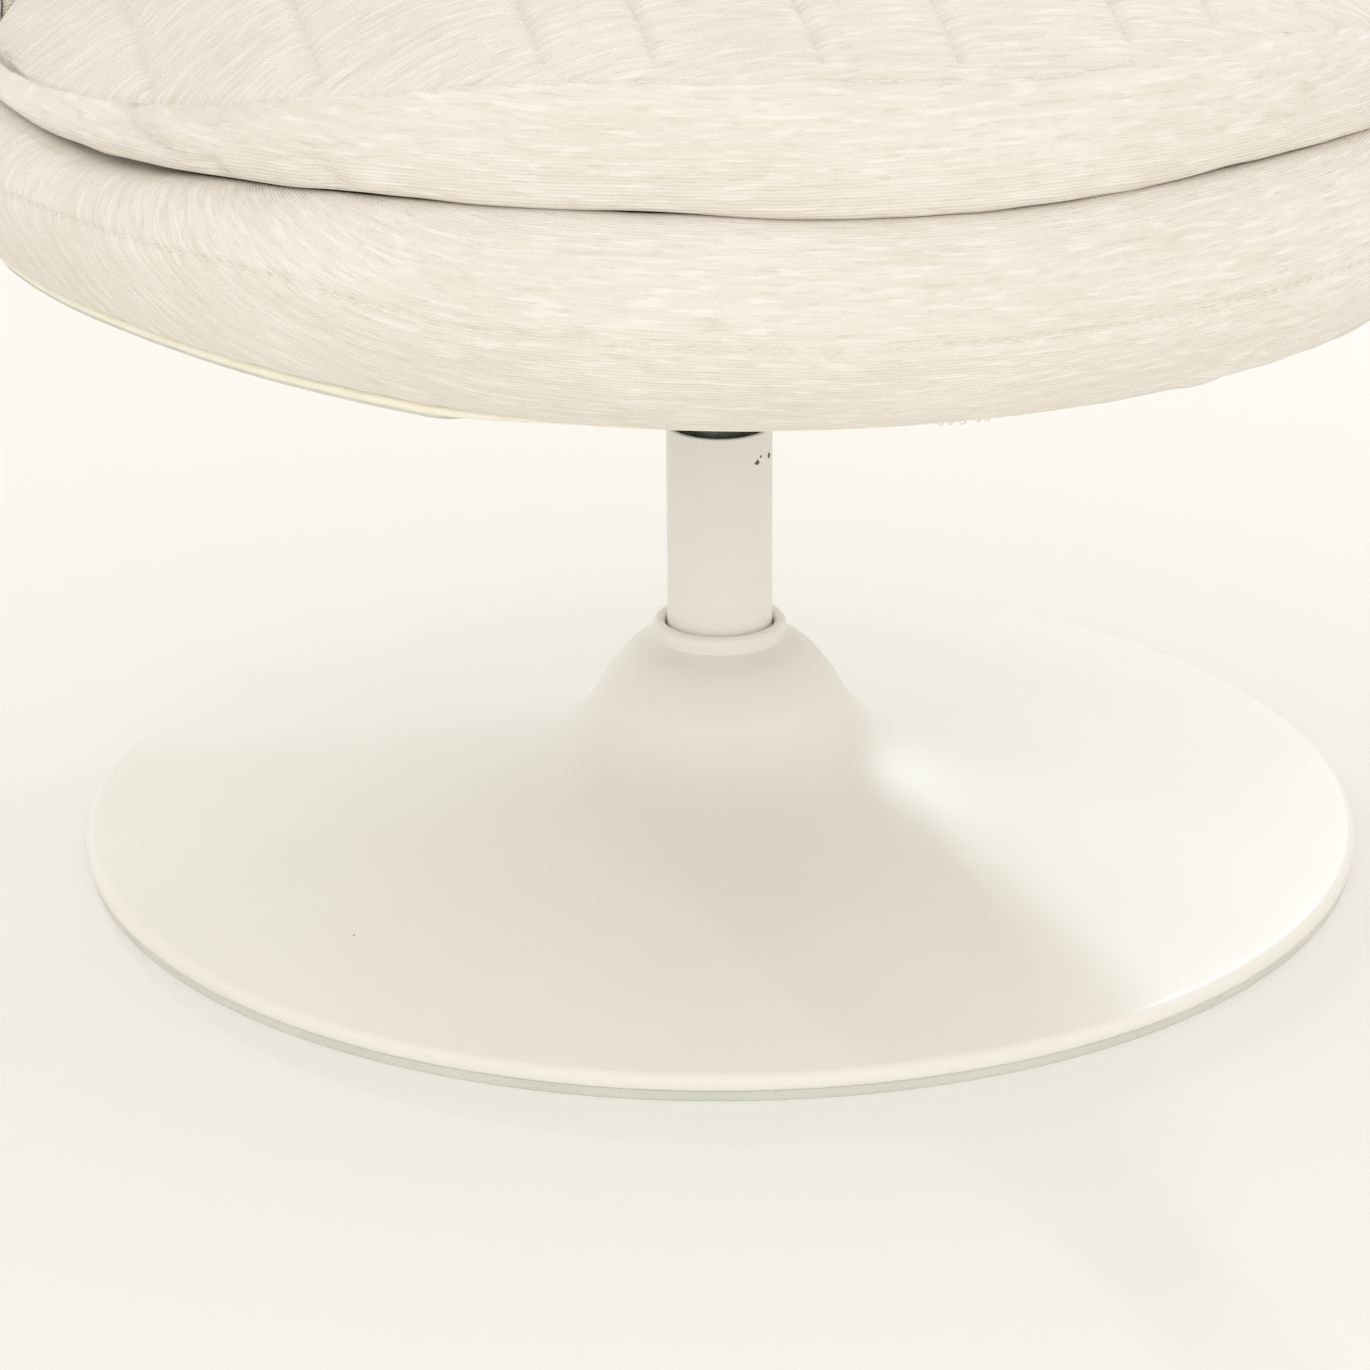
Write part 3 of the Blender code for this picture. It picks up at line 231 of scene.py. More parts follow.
# Satin powder coat: fine orange peel and faint cloudiness
powder = Finish("powder_coat", IOR=1.5, Specular_IOR_Level=0.85)
place = powder.place()
cloud = powder.noise(place, 9.0, 3.0)
colour = powder.mixed(powder.ramp(cloud, (0.3, 0), (0.7, 1)), (0.872, 0.849, 0.784), (0.894, 0.873, 0.814))
grit = powder.noise(place, 1400.0, 1.0)
ragged = powder.noise(place, 900.0)
# Place and radius of three chips near the column's top edge and of a dark speck on the base
CHIPS = (((0.0199, -0.0152, 0.1893), 0.0015), ((0.0123, -0.0218, 0.1885), 0.0014),
         ((0.0142, -0.0205, 0.1908), 0.0006), ((-0.2043, -0.1212, 0.0175), 0.0007))
chips = None
for spot, radius in CHIPS:
    reach = powder.add("VectorMath", {"operation": "DISTANCE"}, {0: place, 1: spot}, out="Value")
    inside = (reach + (ragged - 0.5) * 0.0022).maths("LESS_THAN", radius)
    chips = inside if chips is None else chips.maths("MAXIMUM", inside)
powder.feed("Base Color", powder.mixed(chips, colour, (0.115, 0.105, 0.085)))
powder.feed("Roughness", powder.ramp(cloud, (0.2, 0.43), (0.8, 0.49)) + chips * 0.3)
powder.raised(powder.noise(place, 420.0) * 0.7 + grit * 0.3 - chips * 2.5, 0.00010, 0.45)

run, fall = RIM_RADIUS - RIM_SHOULDER - NECK_RADIUS, NECK_Z - RIM_TOP_Z
flare = smooth_line([(NECK_RADIUS + run * a, RIM_TOP_Z + fall * b) for a, b in FLARE], 6)
inner_wall = []
for (r0, z0), (r1, z1) in zip(flare, flare[1:]):
    length = hypot(r1 - r0, z1 - z0)
    inner_wall.append(((r0 + r1) / 2 + (z1 - z0) / length * BASE_WALL,
                       (z0 + z1) / 2 - (r1 - r0) / length * BASE_WALL))
bead_r, bead_z = (COLLAR_OUTER + COLLAR_INNER) / 2, 0.1019
bead = [(bead_r - (bead_r - COLLAR_INNER) * cos(radians(t)), bead_z + (COLLAR_TOP_Z - bead_z) * sin(radians(t)))
        for t in range(0, 181, 18)]
bead += [(COLLAR_OUTER - 0.0001, 0.1002), (COLLAR_OUTER - 0.0005, 0.0990), (NECK_RADIUS - 0.0001, 0.0982)]
shoulder = [(RIM_RADIUS - RIM_SHOULDER * (1 - sin(radians(t))), RIM_TOP_Z - RIM_SHOULDER * (1 - cos(radians(t))))
            for t in range(12, 91, 13)]
lip_r, lip_z = RIM_RADIUS - LIP_WIDTH, LIP_LOW_Z + BASE_WALL
lip = eased([(RIM_RADIUS, 0.0072, 0), (RIM_RADIUS, LIP_LOW_Z, 0.0016), (lip_r, LIP_LOW_Z, 0.0004),
             (lip_r, lip_z, 0), (RIM_RADIUS - BASE_WALL, lip_z, 0)])
profile = [(COLLAR_INNER, NECK_Z - 0.0004)] + bead + flare + shoulder + lip + inner_wall[::-1]
fitted("trumpet", spun(profile, 192), powder, "base", ["base_trumpet"])

# ------------------------
# Glide ring: a strip of soft, slightly translucent plastic pressed over the rolled rim's lip. It is the
# part that meets the floor, and it stands a little in from the rim so that a thin dark groove shows.

GLIDE_OUTER, GLIDE_INNER = RIM_RADIUS - 0.0012, RIM_RADIUS - 0.0207
CLIP_OUTER = RIM_RADIUS - LIP_WIDTH - 0.0003
GLIDE_TOP_Z, CLIP_TOP_Z, CLIP_WIDTH = 0.0047, 0.0063, 0.0035
glide = Finish("glide_plastic", Roughness=0.34, IOR=1.5, Subsurface_Weight=0.18, Subsurface_Scale=0.003)
place = glide.place()
scuffs = glide.ramp(glide.noise(glide.stretched(place, (1, 1, 6)), 260.0, 3.0), (0.60, 0), (0.72, 1))
tone = glide.ramp(glide.noise(place, 14.0), (0.3, (0.655, 0.680, 0.615)), (0.7, (0.735, 0.750, 0.690)))
glide.feed("Base Color", glide.mixed(scuffs * 0.5, tone, (0.46, 0.48, 0.42)))
glide.raised(glide.noise(place, 700.0), 0.00008, 0.5)
profile = eased([(GLIDE_INNER, 0, 0.0006), (GLIDE_OUTER - 0.0002, 0, 0.0007), (GLIDE_OUTER, 0.0025, 0.001),
                 (GLIDE_OUTER - 0.0004, GLIDE_TOP_Z, 0.0005), (CLIP_OUTER, GLIDE_TOP_Z, 0),
                 (CLIP_OUTER, CLIP_TOP_Z, 0.0003), (CLIP_OUTER - CLIP_WIDTH, CLIP_TOP_Z, 0.0005),
                 (CLIP_OUTER - CLIP_WIDTH, GLIDE_TOP_Z, 0), (GLIDE_INNER, GLIDE_TOP_Z, 0.0006)])
fitted("glide_strip", spun(profile, 192), glide, "base", ["glide_ring"])

# ------------------------
# Column: 50 mm steel tube powder-coated with the base, its cut top edge eased. A black moulded bush sits
# just inside the open top, and the zinc-plated spindle comes up through it.

TUBE_RADIUS, TUBE_WALL, TUBE_TOP_Z, TUBE_FOOT_Z = 0.025, 0.002, 0.202, 0.0101
profile = eased([(TUBE_RADIUS - TUBE_WALL, TUBE_FOOT_Z, 0), (TUBE_RADIUS, TUBE_FOOT_Z, 0),
                 (TUBE_RADIUS, TUBE_TOP_Z, 0.0007), (TUBE_RADIUS - TUBE_WALL, TUBE_TOP_Z, 0.0005)])
fitted("column", spun(profile, 96), powder, "base", ["column_tube"])


def simple(name, roughness, dark, light, patches, grain, relief, strength=0.6, detail=2.0):
    """A plain finish: two tones in soft patches and a fine grain, both given as noise scales."""
    made = Finish(name, Roughness=roughness)
    place = made.place()
    made.feed("Base Color", made.ramp(made.noise(place, patches, detail), (0.3, dark), (0.7, light)))
    made.raised(made.noise(place, grain), relief, strength)
    return made


nylon = simple("black_nylon", 0.5, (0.016, 0.016, 0.016), (0.030, 0.029, 0.027), 60.0, 1800.0, 0.00006)
BUSH_BORE, BUSH_OUTER, BUSH_TOP_Z, BUSH_LENGTH = 0.0128, 0.0227, 0.197, 0.029
profile = eased([(BUSH_BORE, BUSH_TOP_Z - BUSH_LENGTH, 0), (BUSH_OUTER, BUSH_TOP_Z - BUSH_LENGTH, 0.0008),
                 (BUSH_OUTER, BUSH_TOP_Z, 0.0006), (0.0186, BUSH_TOP_Z, 0.0003),
                 (0.0181, BUSH_TOP_Z - 0.0012, 0.0003), (BUSH_BORE, BUSH_TOP_Z - 0.0012, 0.0006)])
fitted("moulded_bush", spun(profile, 64), nylon, "base", ["upper_bush"])

# ------------------------
# Hidden metalwork, straight from the CAD frame: zinc-plated plate, spindle, hub and fasteners, a cast-iron
# ballast ring and an oiled bronze thrust washer. All are welded and smoothed for their shading.


def metal(name, dark, light, rough, grain, relief):
    made = Finish(name, Metallic=1.0)
    place = made.place()
    cloud = made.noise(place, 45.0, 4.0, 0.6)
    made.feed("Base Color", made.ramp(cloud, (0.3, dark), (0.7, light)))
    made.feed("Roughness", made.ramp(cloud, (0.25, rough - 0.06), (0.75, rough + 0.08)))
    made.raised(made.noise(place, grain, 3.0), relief, 0.6)
    return made


zinc = metal("zinc_plate", (0.40, 0.41, 0.41), (0.56, 0.56, 0.54), 0.36, 1500.0, 0.00005)
iron = metal("cast_iron", (0.045, 0.045, 0.048), (0.085, 0.083, 0.082), 0.68, 500.0, 0.0006)
bronze = metal("oiled_bronze", (0.36, 0.22, 0.09), (0.50, 0.33, 0.14), 0.32, 900.0, 0.00005)


def kept(finish, *names):
    """CAD nodes whose shape is right: their finish goes on, and their loose triangles shade as one skin."""
    for name in names:
        node = frame["nodes"][name]
        node.data.materials.clear()
        node.data.materials.append(finish.material)
        if "custom_normal" in node.data.attributes:
            node.data.attributes.remove(node.data.attributes["custom_normal"])
        node.data.shade_smooth()
        node.modifiers.new("weld", "WELD").merge_threshold = 0.00001
        split = node.modifiers.new("corners", "EDGE_SPLIT")
        split.split_angle = radians(40)


fasteners = [f"{kind}_{k}" for kind in ("base_bolt", "base_nut", "seat_bolt", "tee_nut") for k in range(1, 5)]
kept(zinc, "base_plate", "column_flange", "thrust_seat", "spindle", "retaining_ring", "spindle_hub", "hub_pin",
     "swivel_plate", *fasteners)
kept(iron, "ballast_ring")
kept(bronze, "thrust_washer")
kept(nylon, "lower_bush")

# ------------------------
# Seat frame: plywood board, ribs, ring, hoop and the bent wall of the arms and back. Birch veneers show as
# fine bands on the cut edges and as long pores on the faces.

ply = Finish("birch_plywood", Roughness=0.62)
place = ply.place()
veins = ply.noise(ply.stretched(place, (4, 46, 46)), 6.0, 5.0, 0.6)
layers = ply.add("TexWave", {"bands_direction": "Z"}, {"Vector": place, "Scale": 105.0, "Distortion": 0.4})
face = ply.ramp(veins, (0.3, (0.50, 0.34, 0.18)), (0.55, (0.64, 0.46, 0.27)), (0.75, (0.70, 0.53, 0.33)))
ply.feed("Base Color", ply.mixed(ply.ramp(layers, (0.35, 0), (0.65, 0.35)), face, (0.36, 0.24, 0.13)))
ply.raised(veins + layers * 0.4, 0.0002, 0.4)
kept(ply, "seat_board", "skirt_hoop", "seat_ring", "back_frame", *[f"frame_rib_{k}" for k in range(1, 7)])

# ------------------------
# Deck: six elastic webbing straps stapled over the ring, one layer fore and aft and one across it, with a
# needled felt pad laid on them. The felt's edge is soft and its top lies flat under the cushion.

STRAP_WIDTH, STRAP_THICKNESS, STRAP_PITCH, STRAP_REACH = 0.060, 0.002, 0.130, 0.2997
LOWER_STRAP_Z, UPPER_STRAP_Z, DECK_Z, DECK_TOP_Z = 0.3803, 0.3826, 0.3849, 0.3889
webbing = Finish("woven_webbing", Roughness=0.85)
place = webbing.place()
ribs = webbing.add("TexWave", {"bands_direction": "DIAGONAL"}, {"Vector": place, "Scale": 95.0, "Distortion": 1.5,
                                                               "Detail": 1.0})
weft = ribs * 0.7 + webbing.noise(place, 800.0) * 0.3
webbing.feed("Base Color", webbing.ramp(weft, (0.3, (0.075, 0.068, 0.060)), (0.7, (0.20, 0.18, 0.155))))
webbing.raised(weft, 0.0004, 0.7)
for k in range(3):
    middle = (k - 1) * STRAP_PITCH
    reach = sqrt(STRAP_REACH**2 - (abs(middle) + STRAP_WIDTH / 2)**2) if middle else STRAP_REACH
    for name, level, turn in (("lengthwise", LOWER_STRAP_Z, 90), ("crosswise", UPPER_STRAP_Z, 0)):
        bm = bmesh.new()
        bmesh.ops.create_cube(bm, size=1)
        bmesh.ops.scale(bm, vec=(2 * reach, STRAP_WIDTH, STRAP_THICKNESS), verts=bm.verts)
        long_edges = [e for e in bm.edges if abs(e.verts[0].co.x - e.verts[1].co.x) > reach]
        bmesh.ops.bevel(bm, geom=long_edges, offset=0.0009, segments=3, profile=0.5, affect="EDGES", material=-1)
        bmesh.ops.translate(bm, vec=(0, middle if name == "crosswise" else -middle, level + STRAP_THICKNESS / 2),
                            verts=bm.verts)
        bmesh.ops.rotate(bm, verts=bm.verts, matrix=Matrix.Rotation(radians(turn), 3, "Z"))
        fitted(f"webbing_{name}_{k + 1}", bm, webbing, "seat", [f"strap_{name}_{k + 1}"])

felt = Finish("needled_felt", Roughness=0.95)
place = felt.place()
fibres = felt.noise(place, 300.0, 4.0, 0.7)
felt.feed("Base Color", felt.ramp(fibres, (0.3, (0.34, 0.33, 0.30)), (0.55, (0.47, 0.455, 0.42)),
                                  (0.75, (0.60, 0.58, 0.54))))
felt.raised(fibres + felt.noise(place, 60.0) * 0.6, 0.0008, 0.8)
FELT_RADIUS = 0.3214
profile = [(0, DECK_Z, 0), (FELT_RADIUS, DECK_Z, 0.001), (FELT_RADIUS, DECK_TOP_Z, 0.0018), (0, DECK_TOP_Z, 0)]
fitted("felt_pad", spun(eased(profile), 96), felt, "seat", ["deck_pad"], weld=0.0001)

# ------------------------
# Outer shell: foam under cream slubbed chenille. A lower panel leans out from the hem to the ridge seam,
# an upper facet leans in to the crest, and the crest rolls over the frame. Low in front, it sweeps up
# into the arms and round the back. The panels swell between their seams, which are topstitched.

HOOP_INNER, HOOP_OUTER = 0.327, 0.336
PAD_Z = 0.3892
BOTTOM_FRONT_Z, BOTTOM_BACK_Z = 0.310, 0.362
RIDGE_FRONT_Z, RIDGE_BACK_Z = 0.3485, 0.712
CREST_BACK_Z = 0.757
CREST_OVER_FRAME, CREST_OVER_ARM = 0.0088, 0.030
SHELL_HEM, SHELL_RIDGE, SHELL_CREST, SHELL_LIP = 0.345, 0.370, 0.346, 0.322
SHELL_WALL = HOOP_OUTER + 0.0006
PANEL_ROWS, FACET_ROWS = 15, 13
SEAM_ROW, CROWN_ROW = PANEL_ROWS, PANEL_ROWS + FACET_ROWS
LIP_RISE, LIP_LIFT, LIP_HOLLOW, HOLLOW_ANGLE = 0.0014, 0.0086, 0.0042, -63
PANEL_SWELL, FACET_SWELL = 0.0046, 0.0052
# Angle, share of the rise from the front to the back
BOTTOM_SHARES = ((0, 0), (15, 0.01), (30, 0.06), (45, 0.18), (60, 0.29), (70, 0.325), (80, 0.37), (100, 0.54),
                 (125, 0.8), (150, 0.97), (180, 1))
RIDGE_SHARES = ((0, 0), (22, 0.011), (31, 0.0193), (36, 0.0316), (44, 0.055), (50, 0.0605), (60, 0.0688),
                (69, 0.0743), (75, 0.0784), (88, 0.0815), (95, 0.0855), (98, 0.093), (101, 0.1128),
                (105, 0.1719), (109.5, 0.2682), (113.5, 0.3689), (117.5, 0.4633), (122, 0.5409), (127, 0.6033),
                (134.5, 0.6817), (143.5, 0.8044), (156.5, 0.9263), (168.5, 0.9849), (180, 1))
CREST_SHARES = ((0, 0), (85, 0), (91, 0.003), (95, 0.010), (98, 0.024), (101, 0.054), (105, 0.125),
                (109.5, 0.235), (113.5, 0.345), (117.5, 0.445), (122, 0.53), (127, 0.597), (134.5, 0.68),
                (143.5, 0.804), (156.5, 0.927), (168.5, 0.985), (180, 1))
# How far the cushion's lower edge stands off the lip, as a share of CUSHION_LIFTED
CUSHION_LIFT = ((0, 0), (8, 0.05), (20, 0.4), (33, 0.45), (50, 0.2), (60, 0), (68, 0.05), (75, 0.3), (82, 0.6),
                (97, 0.6), (107, 0.3), (116, 0), (180, 0))
# Share of the way from the low front to the full arm
ARM_SHARES = ((0, 0), (96, 0), (101, 0.1), (106, 0.5), (111, 0.85), (116, 1), (180, 1))


def folded(angle):
    """The same angle measured on one side."""
    angle = angle % 360
    return min(angle, 360 - angle)


def share_at(shares, angle):
    """A smooth curve through the listed (angle, share) pairs, level at both ends and the same on both sides."""
    angle = folded(angle)
    xs, ys = [pair[0] for pair in shares], [pair[1] for pair in shares]
    if angle <= xs[0]:
        return ys[0]
    if angle >= xs[-1]:
        return ys[-1]
    i = max(k for k in range(len(xs) - 1) if xs[k] <= angle)
    span = xs[i + 1] - xs[i]
    rise = (ys[i + 1] - ys[i]) / span
    before = (ys[i] - ys[i - 1]) / (xs[i] - xs[i - 1]) if i else -rise
    after = (ys[i + 2] - ys[i + 1]) / (xs[i + 2] - xs[i + 1]) if i + 2 < len(xs) else -rise
    start = (before + rise) / 2 if before * rise > 0 else 0
    end = (rise + after) / 2 if rise * after > 0 else 0
    t = (angle - xs[i]) / span
    return (ys[i] * (2 * t**3 - 3 * t**2 + 1) + start * span * (t**3 - 2 * t**2 + t)
            + ys[i + 1] * (3 * t**2 - 2 * t**3) + end * span * (t**3 - t**2))


def lerp(a, b, t):
    return a + (b - a) * t


def eased_share(x, low, high):
    """0 up to low, 1 from high, and a smooth step between."""
    t = min(max((x - low) / (high - low), 0), 1)
    return t * t * (3 - 2 * t)


def bell(x, width):
    """1 at 0, fading to nothing about two widths away."""
    return np.exp(-(x / width)**2)


def polar(radius, angle, z):
    return Vector((radius * sin(radians(angle)), -radius * cos(radians(angle)), z))


def angle_of(point):
    """Angle of a point from the chair's front, negative on its left."""
    return degrees(atan2(point[0], -point[1]))


def shell_bottom_z(angle):
    return lerp(BOTTOM_FRONT_Z, BOTTOM_BACK_Z, share_at(BOTTOM_SHARES, angle))


def ridge_z(angle):
    return lerp(RIDGE_FRONT_Z, RIDGE_BACK_Z, share_at(RIDGE_SHARES, angle))


def crest_z(angle):
    return lerp(PAD_Z, CREST_BACK_Z, share_at(CREST_SHARES, angle))


def arm_share(angle):
    return share_at(ARM_SHARES, angle)


def frame_top_z(angle):
    return crest_z(angle) - lerp(CREST_OVER_FRAME, CREST_OVER_ARM, arm_share(angle))


# Cream chenille: fuzzy weft yarns with short light and dark slubs. Its UV map is in metres, U along the weft
chenille = Finish("cream_chenille", Roughness=0.95, Sheen_Weight=0.22, Sheen_Roughness=0.45, Specular_IOR_Level=0.25)
weave = chenille.add("UVMap", {"uv_map": "weave"})
drift = chenille.noise(chenille.stretched(weave, (9, 9, 9)))
slubs = chenille.noise(chenille.stretched(weave, (52, 430, 1)), 1.0, 1.6)
flecks = chenille.noise(chenille.stretched(weave, (85, 560, 1), (0, 0, 0.004)), 1.0, 1.0)
streaks = chenille.noise(chenille.stretched(weave, (18, 230, 1)))
yarns = chenille.add("TexWave", {"bands_direction": "Y"}, {"Vector": weave, "Scale": 210.0, "Distortion": 1.6,
                                                           "Detail": 1.0, "Detail Scale": 0.35})
fuzz = chenille.noise(weave, 1500.0)
worn = chenille.ramp(streaks * 0.6 + drift * 0.4, (0.36, 0), (0.64, 1))
cream = chenille.mixed(worn, (0.800, 0.748, 0.668), (0.872, 0.828, 0.772))
lit = chenille.mixed(chenille.ramp(slubs, (0.53, 0), (0.66, 1)) * 0.6, cream, (0.935, 0.908, 0.862))
deep = chenille.ramp(flecks, (0.58, 0), (0.70, 1)) * 0.34
chenille.feed("Base Color", chenille.mixed(deep, lit, (0.66, 0.595, 0.50)))
chenille.raised(slubs * 0.55 + yarns * 0.30 + fuzz * 0.28 - flecks * 0.25 + streaks * 0.15, 0.0012, 0.6)


def swollen(start, end, swell, steps, fullness=0.75):
    """A padded panel between two seams: a flattened arch, full nearly up to each seam."""
    across = Vector((end.y - start.y, start.x - end.x)).normalized()
    if across.x < 0:
        across = -across
    return [start.lerp(end, t) + across * swell * sin(pi * t)**fullness for t in np.arange(1, steps) / steps]


def shell_section(angle):
    """The shell's closed section: hem, panel, ridge seam, facet, crest, inner lip and wall."""
    low, ridge, crest, top = shell_bottom_z(angle), ridge_z(angle), crest_z(angle), frame_top_z(angle)
    arm = arm_share(angle)
    # In front the padding rises to the cushion, but for a hollow at the left where the cushion curls up
    rise = (LIP_RISE + LIP_LIFT * share_at(CUSHION_LIFT, angle)) * (1 - eased_share(folded(angle), 88, 102))
    turned = (angle + 180) % 360 - 180
    rise -= LIP_HOLLOW * bell(turned - HOLLOW_ANGLE, 8.5)
    roll = lerp(0.0012, 0.007, arm) + rise
    hem, seam = Vector((SHELL_HEM, low)), Vector((SHELL_RIDGE, ridge))
    crown = Vector((SHELL_CREST, crest + rise * 0.85))
    apex, lip = (SHELL_CREST - 0.012, crest + roll), (SHELL_LIP, crest - 0.0015)
    panel = swollen(hem, seam, PANEL_SWELL, PANEL_ROWS)
    facet = swollen(seam, crown, FACET_SWELL, FACET_ROWS, 0.8)
    over = smooth_line([facet[-1], crown, apex, lip], 4)[5:]
    inner = [(SHELL_LIP, top + 0.0055), (HOOP_INNER - 0.0003, top + 0.0052), (SHELL_WALL, top + 0.001),
             (SHELL_WALL, lerp(low, top, 0.5)), (SHELL_WALL, low + 0.0041)]
    return [hem, *panel, seam, *facet, crown, *over, *inner]


def carried(section, steps, start=0, end=360):
    """A section carried round the swivel axis: a template is spun, and each point takes its place from the
    section at its angle. Layers keep its row and its distance along the section."""
    full = end - start >= 360
    rows = len(section(start))
    bm = bmesh.new()
    row_layer, up_layer, turn_layer = [bm.verts.layers.float.new(n) for n in ("row", "up", "turn")]
    first = [bm.verts.new((0, -1, k)) for k in range(rows)]
    edges = [bm.edges.new((first[k], first[(k + 1) % rows])) for k in range(rows)]
    bmesh.ops.spin(bm, geom=first + edges, cent=(0, 0, 0), axis=(0, 0, 1), angle=radians(end - start), steps=steps,
                   use_merge=full)
    found = {}
    for vert in bm.verts:
        turned = angle_of(vert.co) % 360
        k = round(turned / (end - start) * steps) % (steps if full else steps + 1)
        if k not in found:
            angle = start + (end - start) * k / steps
            points = [Vector(point) for point in section(angle)]
            lengths = np.cumsum([0] + [(b - a).length for a, b in zip(points, points[1:])])
            found[k] = angle, points, lengths
        angle, points, lengths = found[k]
        row = round(vert.co.z)
        vert[row_layer], vert[up_layer], vert[turn_layer] = row, lengths[row], angle
        vert.co = polar(points[row].x, angle, points[row].y)
    if not full:
        bmesh.ops.holes_fill(bm, edges=[e for e in bm.edges if e.is_boundary], sides=0)
    return bm


def weave_map(bm, place):
    """UV map in metres: place(corner's point, its face's middle, the vertex) gives each corner's U and V."""
    layer = bm.loops.layers.uv.new("weave")
    for face in bm.faces:
        middle = face.calc_center_median()
        for loop in face.loops:
            loop[layer].uv = place(loop.vert.co, middle, loop.vert)


# The weft runs level across the front and turns steeply up towards each arm, as the cloth was cut
WEFT_RISE, PANEL_RADIUS = 74, 0.36
grain_angles = np.arange(0, 181)
grain_turn = np.radians([WEFT_RISE * eased_share(a, 30, 64) for a in grain_angles])
grain_steps = np.exp(-1j * (grain_turn[1:] + grain_turn[:-1]) / 2)
grain_run = np.concatenate([[0], np.cumsum(grain_steps)]) * radians(1) * PANEL_RADIUS

PRESSURE, STIFFNESS, FRAMES = 4.0, 8.0, 20


def evaluated(obj):
    """The object with its modifiers worked in."""
    return obj.evaluated_get(bpy.context.evaluated_depsgraph_get())


def stuffed(obj, sewn, limit):
    """Cloth simulation of the stuffing: panels swell between their sewn lines, which stay where they are.
    No point moves further than limit. sewn holds a weight from 0, free, to 1, fixed, for each vertex."""
    mesh = obj.data
    before = np.array([vert.co for vert in mesh.vertices])
    group = obj.vertex_groups.new(name="sewn")
    for weight in sorted(set(np.round(sewn, 1))):
        group.add(np.flatnonzero(np.abs(sewn - weight) < 0.05).tolist(), float(weight), "REPLACE")
    cloth = obj.modifiers.new("stuffing", "CLOTH")
    settings = cloth.settings
    settings.quality, settings.mass = 5, 0.25
    settings.tension_stiffness = settings.compression_stiffness = settings.shear_stiffness = STIFFNESS
    settings.bending_stiffness = 0.6
    settings.vertex_group_mass = "sewn"
    settings.use_pressure, settings.uniform_pressure_force = True, PRESSURE
    settings.effector_weights.gravity = 0
    cloth.collision_settings.use_collision = False
    cloth.point_cache.frame_start, cloth.point_cache.frame_end = 1, FRAMES
    for number in range(1, FRAMES + 1):
        scene.frame_set(number)
    moved = np.array([vert.co for vert in evaluated(obj).data.vertices]) - before
    moved[~np.isfinite(moved).all(axis=1)] = 0
    reach = np.maximum(np.linalg.norm(moved, axis=1, keepdims=True), 1e-9)
    moved *= limit * np.tanh(reach / limit) / reach
    print(obj.name, "stuffing moved up to", round(float(reach.max()) * 1000, 2), "mm")
    obj.modifiers.remove(cloth)
    obj.vertex_groups.remove(group)
    scene.frame_set(1)
    mesh.vertices.foreach_set("co", (before + moved).ravel())
    mesh.update()


def refined(obj):
    """One subdivision, applied, so that the small creases have points to move."""
    finer = obj.modifiers.new("finer", "SUBSURF")
    finer.levels = finer.render_levels = 1
    mesh = bpy.data.meshes.new_from_object(evaluated(obj))
    obj.modifiers.remove(finer)
    obj.data = mesh


def values_of(obj, layer):
    return np.array([point.value for point in obj.data.attributes[layer].data])


def creased(obj, depth, *layers):
    """Moves each point along its normal by depth(point, the layers' values there), for creases and lumps."""
    mesh = obj.data
    normals = [vert.normal.copy() for vert in mesh.vertices]
    values = zip(*(values_of(obj, layer) for layer in layers))
    for vert, normal, spot in zip(mesh.vertices, normals, values):
        vert.co = vert.co + normal * depth(vert.co, *spot)
    mesh.update()


def lumps(point, size, seed=0.0):
    """Soft noise from -1 to 1 with features of about that size."""
    return noise.noise(Vector(point) / size + Vector((seed, seed * 1.7, seed * 0.3)))


bm = carried(shell_section, 360)
row_layer, up_layer, turn_layer = [bm.verts.layers.float[n] for n in ("row", "up", "turn")]
seam_up = {round(folded(v[turn_layer])): v[up_layer] for v in bm.verts if round(v[row_layer]) == SEAM_ROW}


def shell_weave(point, middle, vert):
    angle = min(abs(angle_of(point)), 180)
    along = np.interp(angle, grain_angles, grain_run.real) + 1j * np.interp(angle, grain_angles, grain_run.imag)
    up = vert[up_layer] - seam_up[min(round(angle), 180)]
    spot = along + 1j * up * np.exp(-1j * np.interp(angle, grain_angles, grain_turn))
    return spot.real if middle.x > 0 else -spot.real, spot.imag


weave_map(bm, shell_weave)
shell = fitted("padded_shell", bm, chenille, "seat", ["shell_cover"], sharp=80)
rows = values_of(shell, "row")
fixed = (rows < 0.5) | (np.abs(rows - SEAM_ROW) < 0.5) | (rows > CROWN_ROW + 4)
near = (rows < 1.5) | (np.abs(rows - SEAM_ROW) < 1.5)
stuffed(shell, np.where(fixed, 1.0, np.where(near, 0.4, 0.0)), limit=0.0022)
refined(shell)


def shell_creases(point, row):
    """Ridge seam pulled in, puckers along it and the hem, one pinch at the hem, and soft lumps."""
    if row > CROWN_ROW + 7:
        return 0.0
    angle = angle_of(point)
    seam = abs(row - SEAM_ROW)
    amount = -0.0016 * bell(seam, 0.75)
    ripple = lumps((angle * 0.0062, row * 0.0012, 3.1), 0.011) * bell(seam, 3.2) * 0.0009
    hem = lumps((angle * 0.0062, 7.7, row * 0.0009), 0.013) * bell(row, 2.6) * 0.0006
    broad = lumps(point, 0.055, 4.0) * 0.0011 + lumps(point, 0.022, 9.0) * 0.00045
    calm = min(1.0, row / 3) * (1.0 if row < CROWN_ROW else 0.5)
    pinch = -0.0060 * bell(angle - 21.5 - (row - 4) * 0.55, 0.9) * bell(row - 3.2, 2.4)
    pinch += 0.0030 * bell(angle - 19.2 - (row - 4) * 0.55, 1.3) * bell(row - 3.4, 2.6)
    return amount + ripple + hem + broad * calm + pinch


creased(shell, shell_creases, "row")

